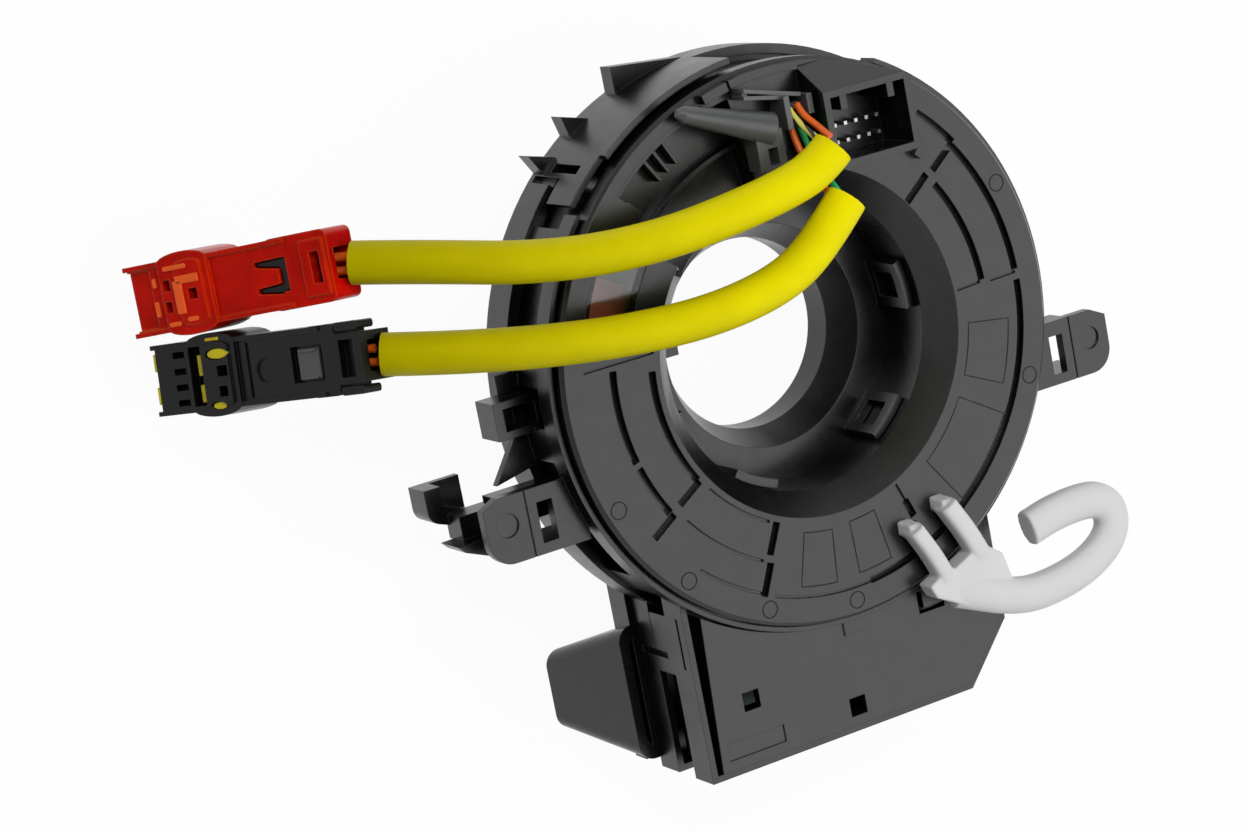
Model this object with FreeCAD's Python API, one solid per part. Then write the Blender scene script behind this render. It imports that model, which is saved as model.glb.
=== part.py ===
import FreeCAD, Part
import math
import os

# Steering clock spring: a rotor that turns on a fixed stator, with a flat cable wound between them,
# a steering angle sensor below the drum, two sleeved leads and a removable lock clip.
# The Z axis is the steering axis. The origin is the middle of the rear bore lip. The face looks up,
# the sensor box points along -Y, and the part lies on its rear hood and skirt.

os.makedirs("parts", exist_ok=True)
V = FreeCAD.Vector

# Heights of the stack, from the rear plate up to the face
REAR_Z = 2.5
REAR_PLATE_T = 1.6
AXIAL_GAP = 0.6
GEAR_H = 3.2
FLANGE_T = 1.4
FLOOR_T = 1.8
CHAMBER_H = 12.0
PLATE_T = 2.2
REST_DEPTH = 44.0

# Rotor
RIM_R = 50.0
RIM_H = 3.8
RIM_T = 1.4
RIM_EDGE = 0.6
CONE_W = 4.2
HUB_R = 26.6
HUB_T = 1.6
CONE_H = 5.2
BORE_R = 17.3
BORE_T = 1.8
LIP_H = 6.2
FLARE_R = 20.2
GROOVE_W = 1.4
LINE_W = 0.5
GROOVE_DEPTH = 1.4
LINE_DEPTH = 0.5

# Stator drum
RIM_GAP = 0.4
LIP_T = 0.9
LIP_DROP = 2.2
LIP_SKIRT_H = 4.2
LIP_SLOPE = 0.8
LIP_GAP_A0 = 62.0
LIP_GAP_A1 = 140.5
WALL_SET_IN = 0.8
WALL_T = 1.6
BAND_GAP = 1.0
BAND_T = 1.8
BAND_DEPTH = 15.5
SEAM = 0.2
SEAT_W = 3.4
HUB_GAP = 1.2
SNAP_SPAN = 7.0
SNAP_ANGLES = (20.0, -20.0, -38.0, 147.0, 171.0, 186.0, 222.0)

# Raised part of the band, with its slotted snap plate
RAISED_T = 1.1
RAISED_A0 = 95.0
RAISED_A1 = 127.8
RAISED_DEPTH = 3.0
SNAP_PLATE_A1 = 139.0
SNAP_PLATE_DEPTH = 4.6
SNAP_PLATE_FOOT = 13.0
SNAP_PLATE_ROOT_A = 133.4
SNAP_SLOT_A0 = 130.4
SNAP_SLOT_A1 = 132.4
SNAP_SLOT_TOP = 8.3
SNAP_SLOT_FOOT = 17.5
BAND_NOTCH_A1 = 135.0
FIN_DEPTH = 19.0
FIN_H = 3.6

# Pocket in the rotor face, and the viewing window
POCKET_DEPTH = 5.0
POCKET_FLOOR_T = 1.0
POCKET_A0 = 100.0
POCKET_A1 = 133.0
POCKET_A2 = 140.0
POCKET_STEP = 9.0
POCKET_WALL = 0.9
POCKET_LEDGE_DEPTH = 1.2
POCKET_LEDGE_W = 1.3
POCKET_CURB_SET_IN = 12.3
POCKET_CURB_T = 0.8
POCKET_CURB_DEPTH = 3.0
POCKET_RIB_ANGLES = (117.0, 120.0, 123.0)
POCKET_RIB_T = 0.6
POCKET_RIB_L = 5.0
TUB_GAP = 0.6
TUB_SIDE = 2.0
WINDOW_A0 = 144.0
WINDOW_A1 = 166.0
WINDOW_SET_OUT = 5.6
WINDOW_SET_IN = 4.4
LENS_T = 1.1
LENS_DROP = 0.1
LEDGE = 1.0

# Twelve-way socket tower on the rotor
TOWER_X0 = 6.4
TOWER_X1 = 24.4
TOWER_SET_IN = 6.7
TOWER_L = 13.8
TOWER_H = 7.4
TOWER_WALL = 1.3
TOWER_CORNER = 1.2
RAMP_OUT = 4.6
RAMP_EDGE = 0.3
KEY_W = 1.4
KEY_L = 2.6
KEY_DROP = 0.8
KEY_PLACES = (4.4, 14.2)
PIN_PITCH = 2.2
PIN_ROWS = 2
PIN_COLUMNS = 6
PIN_ROW_GAP = 3.0
PIN_ROW_SHIFT = -1.9
PIN_W = 0.64
PIN_DROP = 7.0

# Flat cable, roller carrier and rollers
CABLE_GAP = 0.3
COIL_T = 1.8
CABLE_T = 0.7
CARRIER_T = 1.3
ROLLER_COUNT = 6
ROLLER_SIDE_GAP = 0.4
COIL_OVERLAP = 0.15
CARRIER_SIDE_GAP = 1.2
ROLLER_PIN_R = 1.5
RUNNING_CLEARANCE = 0.06
ROLLER_A0 = 10.0

# Angle sensor gears
GEAR_MODULE = 1.0
GEAR_SET_IN = 1.2
MAGNET_TEETH = (18, 20)
MAGNET_GEAR_TOOTH_STEPS = (-17, -10)
ADDENDUM = 0.9
DEDENDUM = 1.25
BACKLASH = 0.2
PRESSURE_ANGLE = 20.0
ROOT_SHARE = 0.4
GEAR_SEAT_SET_IN = 4.6
GEAR_BACKSET = 0.4
GEAR_HUB_R = 5.0
GEAR_ROOM = 0.5
BEARING_GAP = 0.25
STUB_R = 1.6
MAGNET_R = 3.4
MAGNET_H = 1.6

# Turn signal cancel cam
CAM_R = 22.0
CAM_LOBE_R = 25.4
CAM_H = 4.0
CAM_LOBE_ANGLE = 34.0

# Sensor box
COVER_DEPTH = 4.5
COVER_T = 1.8
BOX_HALF_W = 33.0
BOX_BOTTOM_Y = -72.4
BOX_TUCK = 0.5
BOX_CHAMFER_X = 9.5
BOX_CHAMFER_Y = 10.8
BOX_WALL = 1.2
SHELF_T = 1.2
COVER_INSET = 1.35
COVER_LEFT_SHIFT = 0.65
COVER_TAPER = 1.5
COVER_SKIRT_INSET = 0.4
CHANNEL_INSET = 2.4
BEVEL_SHARE = 0.4
BOX_RIM_DEPTH = 5.2
CHANNEL_DEPTH = 11.4
BOX_JOIN_DEPTH = 17.2
APRON_Y0 = -53.0
APRON_Y1 = -42.0
SLIT_Y0 = -50.2
SLIT_Y1 = -49.0
SLIT_DEPTH = 13.0
SEAM_LINE = 0.6
BOARD_T = 1.6
BOARD_STAND = 1.4
BOARD_LEFT_INSET = 6.0
BOARD_RIGHT_INSET = 3.4
BOARD_LOW_INSET = 3.1
BOARD_TOP_INSET = 1.8
BOARD_POST_R = 1.8
BOARD_POST_INSET = 4.0
BOARD_POST_SPAN = 16.0
CHIP_T = 1.1
SENSOR_CHIP_W = 5.0
SENSOR_CHIP_L = 4.0
MAIN_CHIP_W = 14.0
MAIN_CHIP_RISE = 20.6
PAN_LEFT_X = -34.0
PAN_RIGHT_X = 31.4
PAN_TOP_MARGIN = 6.4
PAN_WALL = 1.4
TAIL_H = 1.5

# Rear connector hood
HOOD_LEFT_X = -36.8
HOOD_RIGHT_X = 20.0
HOOD_TOP_Y = -45.2
HOOD_BOTTOM_Y = -70.6
HOOD_END_LEFT_X = -42.0
HOOD_END_RIGHT_X = 24.0
HOOD_END_TOP_Y = -51.4
HOOD_END_BOTTOM_Y = -66.6
HOOD_WALL = 1.8
HOOD_CORNER_R = 3.0
SOCKET_FLOOR_DEPTH = 33.0
SOCKET_A_W = 30.0
SOCKET_B_W = 22.0

# Ears of the stator
EAR_X = 62.0
EAR_Y = -16.0
EAR_DEPTH = 5.5
EAR_T = 2.0
EAR_TIP = 4.2
EAR_R = 4.4
EAR_ROOT = 2.2
EAR_TOP_Y = -10.9
EAR_BOTTOM_Y = -22.7
EAR_BEVEL = 1.6
EAR_BOSS_R = 2.1
EAR_RIB_T = 1.4
EAR_RIB_INSET = 1.2
EAR_SLOT_OUT = 1.7
EAR_SLOT_W = 3.0

# Side block, ledge and gusset at the left of the drum, and the claws behind the left ear
SIDE_BLOCK_OUT = 6.1
SIDE_BLOCK_Y0 = -2.9
SIDE_BLOCK_Y1 = 3.7
SIDE_BLOCK_DEPTH = 10.5
SIDE_BLOCK_H = 6.4
SIDE_BLOCK_WALL = 1.3
LEDGE_OUT = 3.0
LEDGE_Y1 = 7.6
LEDGE_DEPTH = 13.9
LEDGE_T = 0.9
CLAW_REACH = 7.6
CLAW_T = 3.2
CLAW_DEPTH = 20.0
CLAW_H = 6.0
CLAW_WEB_T = 1.5
CLAW_R = 2.5
BRIDGE_H = 5.3

# Locating skirt that the part rests on, opposite the hood
SKIRT_R0 = 36.0
SKIRT_R1 = 38.6
SKIRT_A0 = 36.0
SKIRT_A1 = 92.0

# Leads
SLEEVE_R = 3.65
WIRE_R = 0.75
PLUG_W = 13.0
PLUG_T = 9.6
PLUG_FRAME_L = 6.0
PLUG_NOSE_L = 7.6
PLUG_COLLAR_L = 10.0
PLUG_STEP = 0.8
RETAINER_L = 14.0
RETAINER_W = 9.6
RETAINER_T = 1.0
RETAINER_DEPTH = 1.0
LOCK_W = 4.4
LOCK_L = 5.2
LOCK_GAP = 0.5
LOCK_DEPTH = 2.0
LOCK_X = 11.6
TAIL_SEAT = 3.0

# Heights worked out from the stack
PLATE_TOP = REAR_Z + REAR_PLATE_T
GEAR_BOTTOM = PLATE_TOP + AXIAL_GAP
GEAR_TOP = GEAR_BOTTOM + GEAR_H
FLANGE_TOP = GEAR_TOP + FLANGE_T
FLOOR_BOTTOM = FLANGE_TOP + AXIAL_GAP
FLOOR_TOP = FLOOR_BOTTOM + FLOOR_T
CEILING = FLOOR_TOP + CHAMBER_H
FACE_Z = CEILING + PLATE_T
REST_Z = FACE_Z - REST_DEPTH
POCKET_FLOOR = FACE_Z - POCKET_DEPTH
POCKET_UNDERSIDE = POCKET_FLOOR - POCKET_FLOOR_T
COVER_TOP = FACE_Z - COVER_DEPTH
BOX_RIM_Z = FACE_Z - BOX_RIM_DEPTH
CHANNEL_Z = FACE_Z - CHANNEL_DEPTH
BOX_JOIN_Z = FACE_Z - BOX_JOIN_DEPTH
SHELF_Z = CHANNEL_Z + SHELF_T
STEP_Z = FACE_Z - RIM_H - AXIAL_GAP
LIP_TOP = FACE_Z - LIP_DROP
SKIRT_Z = LIP_TOP - LIP_SKIRT_H
BAND_TOP = FACE_Z - BAND_DEPTH
CARRIER_Z = FLOOR_TOP + CABLE_GAP
ROLLER_Z0 = CARRIER_Z + CARRIER_T + CABLE_GAP
ROLLER_Z1 = POCKET_UNDERSIDE - 2 * CABLE_GAP

# Radii worked out from their neighbours
HUB_OUT = HUB_R + HUB_T
FACE_INNER_R = HUB_R + CONE_W
WALL_R = RIM_R - WALL_SET_IN
BAND_R = WALL_R + BAND_GAP + BAND_T
WINDOW_R0 = FACE_INNER_R + WINDOW_SET_OUT
WINDOW_R1 = RIM_R - WINDOW_SET_IN
BOX_TOP_Y = BOX_TUCK - math.sqrt(WALL_R ** 2 - BOX_HALF_W ** 2)
TOWER_Y1 = RIM_R - TOWER_SET_IN
TOWER_Y0 = TOWER_Y1 - TOWER_L
GEAR_SEAT_R = HUB_R - GEAR_SEAT_SET_IN
DRIVE_TEETH = round(2 * (HUB_OUT - GEAR_SET_IN) / GEAR_MODULE)
LIP_IN_R = RIM_R + RIM_GAP
LIP_OUT_R = LIP_IN_R + LIP_T
CHAMBER_R = WALL_R - WALL_T
POCKET_R = CHAMBER_R - TUB_GAP - POCKET_WALL
INNER_COIL_R0 = HUB_OUT + CABLE_GAP
INNER_COIL_R1 = INNER_COIL_R0 + COIL_T
OUTER_COIL_R1 = CHAMBER_R - CABLE_GAP
OUTER_COIL_R0 = OUTER_COIL_R1 - COIL_T
ROLLER_RING_R = (INNER_COIL_R1 + OUTER_COIL_R0) / 2
COIL_SPACE = (OUTER_COIL_R0 - INNER_COIL_R1) / 2
ROLLER_R = COIL_SPACE - CABLE_T - ROLLER_SIDE_GAP
TUBE_OUT = BORE_R + BORE_T


def polar(radius, degrees, z=0.0):
    angle = math.radians(degrees)
    return V(radius * math.cos(angle), radius * math.sin(angle), z)


def face_of(edges):
    return Part.Face(Part.Wire(edges))


def prism(points, z0, z1):
    corners = [V(x, y, z0) for x, y in points]
    outline = Part.makePolygon(corners + corners[:1])
    return Part.Face(outline).extrude(V(0, 0, z1 - z0))


def block(x0, x1, y0, y1, z0, z1):
    return Part.makeBox(x1 - x0, y1 - y0, z1 - z0, V(x0, y0, z0))


def disc(radius, z0, z1, x=0.0, y=0.0):
    return Part.makeCylinder(radius, z1 - z0, V(x, y, z0))


def ring(r0, r1, z0, z1):
    return disc(r1, z0, z1).cut(disc(r0, z0, z1))


def sector(r0, r1, a0, a1, z0, z1):
    middle = (a0 + a1) / 2
    outer = Part.Arc(polar(r1, a0, z0), polar(r1, middle, z0), polar(r1, a1, z0))
    inner = Part.Arc(polar(r0, a1, z0), polar(r0, middle, z0), polar(r0, a0, z0))
    edges = [
        outer.toShape(),
        Part.makeLine(polar(r1, a1, z0), polar(r0, a1, z0)),
        inner.toShape(),
        Part.makeLine(polar(r0, a0, z0), polar(r1, a0, z0)),
    ]
    return face_of(edges).extrude(V(0, 0, z1 - z0))


def revolved(profile):
    corners = [V(r, 0, z) for r, z in profile]
    outline = Part.makePolygon(corners + corners[:1])
    return Part.Face(outline).revolve(V(0, 0, 0), V(0, 0, 1), 360)


def turned(shape, degrees):
    copy = shape.copy()
    copy.rotate(V(0, 0, 0), V(0, 0, 1), degrees)
    return copy


def union(shapes):
    result = shapes[0]
    for shape in shapes[1:]:
        result = result.fuse(shape)
    return result.removeSplitter()


def rounded_prism(points, radii, z0, z1):
    """Extrude a polygon whose corners are rounded by the radii given, one for each point."""
    count = len(points)
    edges = []
    start = None
    first = None
    for k in range(count):
        before = V(points[k - 1][0], points[k - 1][1], z0)
        corner = V(points[k][0], points[k][1], z0)
        after = V(points[(k + 1) % count][0], points[(k + 1) % count][1], z0)
        back = (before - corner).normalize()
        ahead = (after - corner).normalize()
        half = back.getAngle(ahead) / 2
        if radii[k] > 0:
            reach = radii[k] / math.tan(half)
            entry = corner + back * reach
            leave = corner + ahead * reach
            bisector = (back + ahead).normalize()
            centre = corner + bisector * (radii[k] / math.sin(half))
            middle = centre - bisector * radii[k]
        else:
            entry = corner
            leave = corner
        if start is None:
            first = entry
        else:
            edges.append(Part.makeLine(start, entry))
        if radii[k] > 0:
            edges.append(Part.Arc(entry, middle, leave).toShape())
        start = leave
    edges.append(Part.makeLine(start, first))
    return face_of(edges).extrude(V(0, 0, z1 - z0))


def tube(route, radius, label=None):
    """A round tube along straight runs joined by tangent arcs, each as large as its runs allow."""
    points = [V(*p) for p in route]
    edges = []
    radii = []
    start = points[0]
    for k in range(1, len(points) - 1):
        back = points[k - 1] - points[k]
        ahead = points[k + 1] - points[k]
        reach = 0.45 * min(back.Length, ahead.Length)
        half_turn = (math.pi - back.getAngle(ahead)) / 2
        radii.append(reach / math.tan(half_turn))
        back.normalize()
        ahead.normalize()
        entry = points[k] + back * reach
        leave = points[k] + ahead * reach
        bisector = (back + ahead).normalize()
        depth = radii[-1] / math.cos(half_turn) - radii[-1]
        middle = points[k] + bisector * depth
        edges.append(Part.makeLine(start, entry))
        edges.append(Part.Arc(entry, middle, leave).toShape())
        start = leave
    edges.append(Part.makeLine(start, points[-1]))
    spine = Part.Wire(edges)
    section = Part.Wire(Part.makeCircle(radius, points[0], points[1] - points[0]))
    solid = Part.Solid(spine.makePipeShell([section], True, False))
    if solid.Volume < 0:
        solid.reverse()
    if label:
        share = solid.Volume / (math.pi * radius ** 2 * spine.Length)
        print(label, "length", round(spine.Length, 1), "radii", [round(r, 1) for r in radii],
              "volume share", round(share, 4))
    return solid


def involute_outline(teeth, phase, shift_x=0.0, shift_y=0.0, z=0.0):
    """Closed outline of a spur gear, with a tooth centred on the phase angle."""
    pitch_r = GEAR_MODULE * teeth / 2
    base_r = pitch_r * math.cos(math.radians(PRESSURE_ANGLE))
    tip_r = pitch_r + ADDENDUM * GEAR_MODULE
    root_r = pitch_r - DEDENDUM * GEAR_MODULE

    def unwind(radius):
        ratio = max(1.0, radius / base_r)
        angle = math.acos(1.0 / ratio)
        return math.tan(angle) - angle

    half_tooth = math.pi / (2 * teeth) - BACKLASH / (4 * pitch_r)
    at_pitch = unwind(pitch_r)
    low_r = max(base_r, root_r)
    flank = [low_r + (tip_r - low_r) * k / 3 for k in range(4)]
    half_root_gap = math.pi / teeth - half_tooth - at_pitch + unwind(low_r)
    root_step = ROOT_SHARE * half_root_gap
    points = []
    for tooth in range(teeth):
        centre = math.radians(phase) + 2 * math.pi * tooth / teeth
        right = [(r, centre - half_tooth - at_pitch + unwind(r)) for r in flank]
        left = [(r, centre + half_tooth + at_pitch - unwind(r)) for r in reversed(flank)]
        points.append((root_r, right[0][1] - root_step))
        points.extend(right)
        points.extend(left)
        points.append((root_r, left[-1][1] + root_step))
    return [V(shift_x + r * math.cos(a), shift_y + r * math.sin(a), z) for r, a in points]


def gear_solid(teeth, phase, height, z, shift_x=0.0, shift_y=0.0):
    corners = involute_outline(teeth, phase, shift_x, shift_y, z)
    outline = Part.makePolygon(corners + corners[:1])
    return Part.Face(outline).extrude(V(0, 0, height))


def placed(shape, origin, along):
    """Move a shape from its own axes, X along its length, to a point and a direction."""
    x_axis = V(*along).normalize()
    y_axis = V(0, 0, 1).cross(x_axis).normalize()
    z_axis = x_axis.cross(y_axis)
    matrix = FreeCAD.Matrix(
        x_axis.x, y_axis.x, z_axis.x, origin[0],
        x_axis.y, y_axis.y, z_axis.y, origin[1],
        x_axis.z, y_axis.z, z_axis.z, origin[2],
        0, 0, 0, 1)
    moved = shape.copy()
    moved.Placement = FreeCAD.Placement(matrix)
    return moved


# Rotor disc with its hub wall, cone, pocket, window, socket tower and moulded grooves

def socket_tower():
    outer = block(TOWER_X0, TOWER_X1, TOWER_Y0, TOWER_Y1, FACE_Z - RIM_H, FACE_Z + TOWER_H)
    outer = outer.common(disc(RIM_R - TOWER_CORNER, FACE_Z - RIM_H, FACE_Z + TOWER_H))
    ramp = Part.Face(Part.makePolygon([
        V(TOWER_X0, TOWER_Y1 - TOWER_WALL, CEILING),
        V(TOWER_X0, TOWER_Y1 + RAMP_OUT, CEILING),
        V(TOWER_X0, TOWER_Y1 + RAMP_OUT, FACE_Z),
        V(TOWER_X0, TOWER_Y1, FACE_Z + TOWER_H),
        V(TOWER_X0, TOWER_Y1 - TOWER_WALL, FACE_Z + TOWER_H),
        V(TOWER_X0, TOWER_Y1 - TOWER_WALL, CEILING),
    ])).extrude(V(TOWER_X1 - TOWER_X0, 0, 0))
    ramp = ramp.common(disc(RIM_R - RIM_EDGE - RAMP_EDGE, CEILING, FACE_Z + TOWER_H))
    return outer.fuse(ramp)


def socket_hollow():
    hollow = block(TOWER_X0 + TOWER_WALL, TOWER_X1 - TOWER_WALL, TOWER_Y0 + TOWER_WALL,
                   TOWER_Y1 - TOWER_WALL, CEILING, FACE_Z + TOWER_H + 1)
    for place in KEY_PLACES:
        middle = TOWER_X0 + place
        rib = block(middle - KEY_W / 2, middle + KEY_W / 2, TOWER_Y1 - TOWER_WALL - KEY_L,
                    TOWER_Y1 - TOWER_WALL, CEILING, FACE_Z + TOWER_H - KEY_DROP)
        hollow = hollow.cut(rib)
    return hollow


def pocket_hollow():
    """The pocket in the face: a deep part, a step beside it, a ledge at the rim, a curb and ribs."""
    top = FACE_Z + 1
    step_r = RIM_R - POCKET_STEP
    curb_r = RIM_R - POCKET_CURB_SET_IN
    deep = sector(HUB_R - 1, POCKET_R, POCKET_A0, POCKET_A1, POCKET_FLOOR, top)
    beside = sector(HUB_R - 1, step_r, POCKET_A1 - 0.5, POCKET_A2, POCKET_FLOOR, top)
    hollow = deep.fuse(beside)
    kept = [sector(curb_r - POCKET_CURB_T, curb_r, POCKET_A0 - 1, POCKET_A2 + 1,
                   POCKET_FLOOR - 1, FACE_Z - POCKET_CURB_DEPTH)]
    for angle in POCKET_RIB_ANGLES:
        rib = block(POCKET_R - POCKET_RIB_L, POCKET_R + 1, -POCKET_RIB_T / 2, POCKET_RIB_T / 2,
                    POCKET_FLOOR - 1, CEILING)
        kept.append(turned(rib, angle))
    return hollow.cut(kept)


def pocket_ledge():
    return sector(POCKET_R - 1, POCKET_R + POCKET_LEDGE_W, PAD_BLOCK_A1, POCKET_A1 + 0.4,
                  FACE_Z - POCKET_LEDGE_DEPTH, FACE_Z + 1)


def rim_pads():
    """A low pad and a block on the rim beside the tower, and a small lug at its other side."""
    pad = sector(RIM_R - 2.2, RIM_R - RIM_EDGE - 0.1, 83.0, 99.5, FACE_Z - 0.5, FACE_Z + 1.6)
    pad_block = sector(RIM_R - 2.4, RIM_R - RIM_EDGE - 0.1, PAD_BLOCK_A0, PAD_BLOCK_A1,
                       FACE_Z - 0.5, FACE_Z + 1.8)
    lug_r = RIM_R - 11.8
    lug = turned(block(lug_r, lug_r + 2.2, -0.8, 0.8, FACE_Z - 0.5, FACE_Z + 1.6), 45.0)
    return [pad, pad_block, lug]


def rotor_disc():
    under_cone_r = HUB_OUT + (FACE_INNER_R - HUB_R) * (1 - PLATE_T / CONE_H)
    body = revolved([
        (RIM_R - RIM_EDGE, FACE_Z),
        (RIM_R, FACE_Z - RIM_EDGE),
        (RIM_R, FACE_Z - RIM_H),
        (RIM_R - RIM_T, FACE_Z - RIM_H),
        (RIM_R - RIM_T, CEILING),
        (under_cone_r, CEILING),
        (HUB_OUT, CEILING - CONE_H + PLATE_T),
        (HUB_OUT, FLANGE_TOP),
        (HUB_R, FLANGE_TOP),
        (HUB_R, FACE_Z - CONE_H),
        (FACE_INNER_R, FACE_Z),
    ])
    tub = sector(HUB_OUT, POCKET_R + POCKET_WALL, POCKET_A0 - TUB_SIDE, POCKET_A2 + TUB_SIDE,
                 POCKET_UNDERSIDE, CEILING)
    body = body.fuse([tub, socket_tower()] + rim_pads())
    frame = 1.5
    cuts = [
        pocket_hollow(),
        pocket_ledge(),
        socket_hollow(),
        sector(WINDOW_R0, WINDOW_R1, WINDOW_A0, WINDOW_A1, FACE_Z - LENS_T, FACE_Z + 1),
        sector(WINDOW_R0 + LEDGE, WINDOW_R1 - LEDGE, WINDOW_A0 + frame, WINDOW_A1 - frame,
               CEILING - 1, FACE_Z + 1),
    ]
    cuts.extend(face_grooves())
    cuts.extend(clip_slots())
    return body.cut(cuts)


def face_grooves():
    """Long arcs and radial slots moulded into the face, none going through. Arcs give how far they
    are set in from the rim, their two angles and whether they are a thin line. Radials give the angle,
    their outer and inner ends set in from the rim, and the same."""
    arcs = [
        (5.6, 2.6, 37.2, False),
        (5.6, -58.0, 0.1, False),
        (5.4, -86.0, -62.0, False),
        (5.2, -112.0, -86.0, True),
        (4.9, 37.5, 49.5, False),
        (13.0, 3.0, 34.6, False),
        (9.9, 172.0, 196.0, False),
        (9.9, 197.5, 212.0, False),
        (17.5, 173.7, 212.0, False),
        (17.9, 217.0, 242.0, True),
        (11.0, 217.0, 243.0, True),
        (5.4, 227.0, 245.0, True),
    ]
    radials = [
        (37.6, 5.0, 11.4, False),
        (38.5, 12.7, 19.0, False),
        (213.1, 4.7, 10.3, False),
        (212.6, 12.2, 17.7, False),
        (245.3, 4.9, 10.9, False),
        (244.6, 12.2, 18.1, False),
        (-68.3, 11.4, 15.0, False),
        (-68.3, 14.9, 18.5, True),
        (2.6, 13.4, 18.5, True),
        (2.0, 5.6, 11.2, True),
    ]
    top = FACE_Z + 1
    cuts = []
    for set_in, a0, a1, thin in arcs:
        half = (LINE_W if thin else GROOVE_W) / 2
        depth = LINE_DEPTH if thin else GROOVE_DEPTH
        cuts.append(sector(RIM_R - set_in - half, RIM_R - set_in + half, a0, a1, FACE_Z - depth, top))
    for angle, outer, inner, thin in radials:
        half = (LINE_W if thin else GROOVE_W) / 2
        depth = LINE_DEPTH if thin else GROOVE_DEPTH
        slot = block(RIM_R - inner, RIM_R - outer, -half, half, FACE_Z - depth, top)
        cuts.append(turned(slot, angle))
    frame_line = block(-(RIM_R - 4.8), -(RIM_R - 18.7), 6.5, 6.5 + LINE_W, FACE_Z - LINE_DEPTH, top)
    cuts.append(frame_line)
    return cuts


PAD_BLOCK_A0 = 100.2
PAD_BLOCK_A1 = 106.4
PRONG_W = 3.2
PRONG_T = 2.4
SEAT_CLEARANCE = 0.15

# The clip is drawn from this point of the rim
CLIP_ANGLE = -66.0
CLIP_X = polar(RIM_R, CLIP_ANGLE).x
CLIP_Y = polar(RIM_R, CLIP_ANGLE).y
CLIP_PRONGS = ((-7.9, 8.1, -106.0), (0.0, 10.3, -107.0))


def at_clip(points):
    return [(CLIP_X + x, CLIP_Y + y) for x, y in points]


def prong_box(x, y, degrees, grow, z0, z1):
    shape = block(-PRONG_T / 2 - grow, PRONG_T / 2 + grow, -PRONG_W / 2 - grow, PRONG_W / 2 + grow, z0, z1)
    shape = turned(shape, degrees)
    shape.translate(V(CLIP_X + x, CLIP_Y + y, 0))
    return shape


def clip_slots():
    return [prong_box(x, y, a, SEAT_CLEARANCE, CEILING - 1, FACE_Z + 1) for x, y, a in CLIP_PRONGS]


def socket_pins():
    pins = []
    middle_x = (TOWER_X0 + TOWER_X1) / 2
    middle_y = (TOWER_Y0 + TOWER_Y1) / 2 + PIN_ROW_SHIFT
    for row in range(PIN_ROWS):
        for column in range(PIN_COLUMNS):
            x = middle_x + (column - (PIN_COLUMNS - 1) / 2) * PIN_PITCH
            y = middle_y + (row - (PIN_ROWS - 1) / 2) * PIN_ROW_GAP
            pin = block(x - PIN_W / 2, x + PIN_W / 2, y - PIN_W / 2, y + PIN_W / 2,
                        CEILING, FACE_Z + TOWER_H - PIN_DROP)
            pins.append(pin)
    return Part.makeCompound(pins)


def window_lens():
    return sector(WINDOW_R0, WINDOW_R1, WINDOW_A0, WINDOW_A1, FACE_Z - LENS_T, FACE_Z - LENS_DROP)


# Rotor sleeve, which closes the hub from below and carries the sensor gear and the cancel cam

def rotor_sleeve():
    body = revolved([
        (BORE_R, -LIP_H / 2),
        (TUBE_OUT, -LIP_H / 2),
        (TUBE_OUT, GEAR_BOTTOM - 0.2),
        (GEAR_SEAT_R, GEAR_BOTTOM - 0.2),
        (GEAR_SEAT_R, GEAR_TOP),
        (HUB_OUT, GEAR_TOP),
        (HUB_OUT, FLANGE_TOP),
        (FLARE_R, FLANGE_TOP),
        (BORE_R, LIP_H / 2),
    ])
    arms = []
    arm_t = 1.6
    arm_gap = 0.2
    outer = HUB_R - arm_gap
    for angle in (8.0, -48.0, -118.0, 205.0):
        half = 10.0
        arm = sector(outer - arm_t, outer, angle - half, angle + half, FLANGE_TOP - 0.5, FACE_Z - CONE_H - 2.0)
        slit = sector(outer - arm_t - 1, outer + 1, angle - 5.5, angle + 5.5,
                      FLANGE_TOP + 1.5, FACE_Z - CONE_H - 4.0)
        arms.append(arm.cut(slit))
    key_w = 3.0
    key = block(-FLARE_R - 0.4, -BORE_R - 0.2, 1.2, 1.2 + key_w, GEAR_BOTTOM, FLANGE_TOP)
    return union([body, key] + arms)


def drive_gear():
    gear = gear_solid(DRIVE_TEETH, 0.0, GEAR_H, GEAR_BOTTOM)
    return gear.cut(disc(GEAR_SEAT_R, GEAR_BOTTOM - 1, GEAR_TOP + 1))


def cancel_cam():
    top = REAR_Z - AXIAL_GAP
    body = ring(TUBE_OUT, CAM_R, top - CAM_H, top)
    half = CAM_LOBE_ANGLE / 2
    lobes = [sector(CAM_R - 1, CAM_LOBE_R, a - half, a + half, top - CAM_H, top) for a in (0.0, 180.0)]
    return union([body] + lobes)


# Stator case: drum wall, floor, rim lip, ears and the front part of the sensor box

def box_outline(inset):
    left = -BOX_HALF_W + inset
    right = BOX_HALF_W - inset
    bottom = BOX_BOTTOM_Y + inset
    bevel = inset * BEVEL_SHARE
    return [
        (left, BOX_TOP_Y),
        (left, bottom),
        (BOX_HALF_W - BOX_CHAMFER_X - bevel, bottom),
        (right, BOX_BOTTOM_Y + BOX_CHAMFER_Y + bevel),
        (right, BOX_TOP_Y),
    ]


def cover_outline(inset):
    """The cover follows the box, but leaves a slot at the left that widens towards the drum."""
    points = box_outline(COVER_INSET + inset)
    left = -BOX_HALF_W + COVER_INSET + COVER_LEFT_SHIFT + inset
    return [(left + COVER_TAPER, BOX_TOP_Y), (left, points[1][1])] + points[2:]


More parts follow.
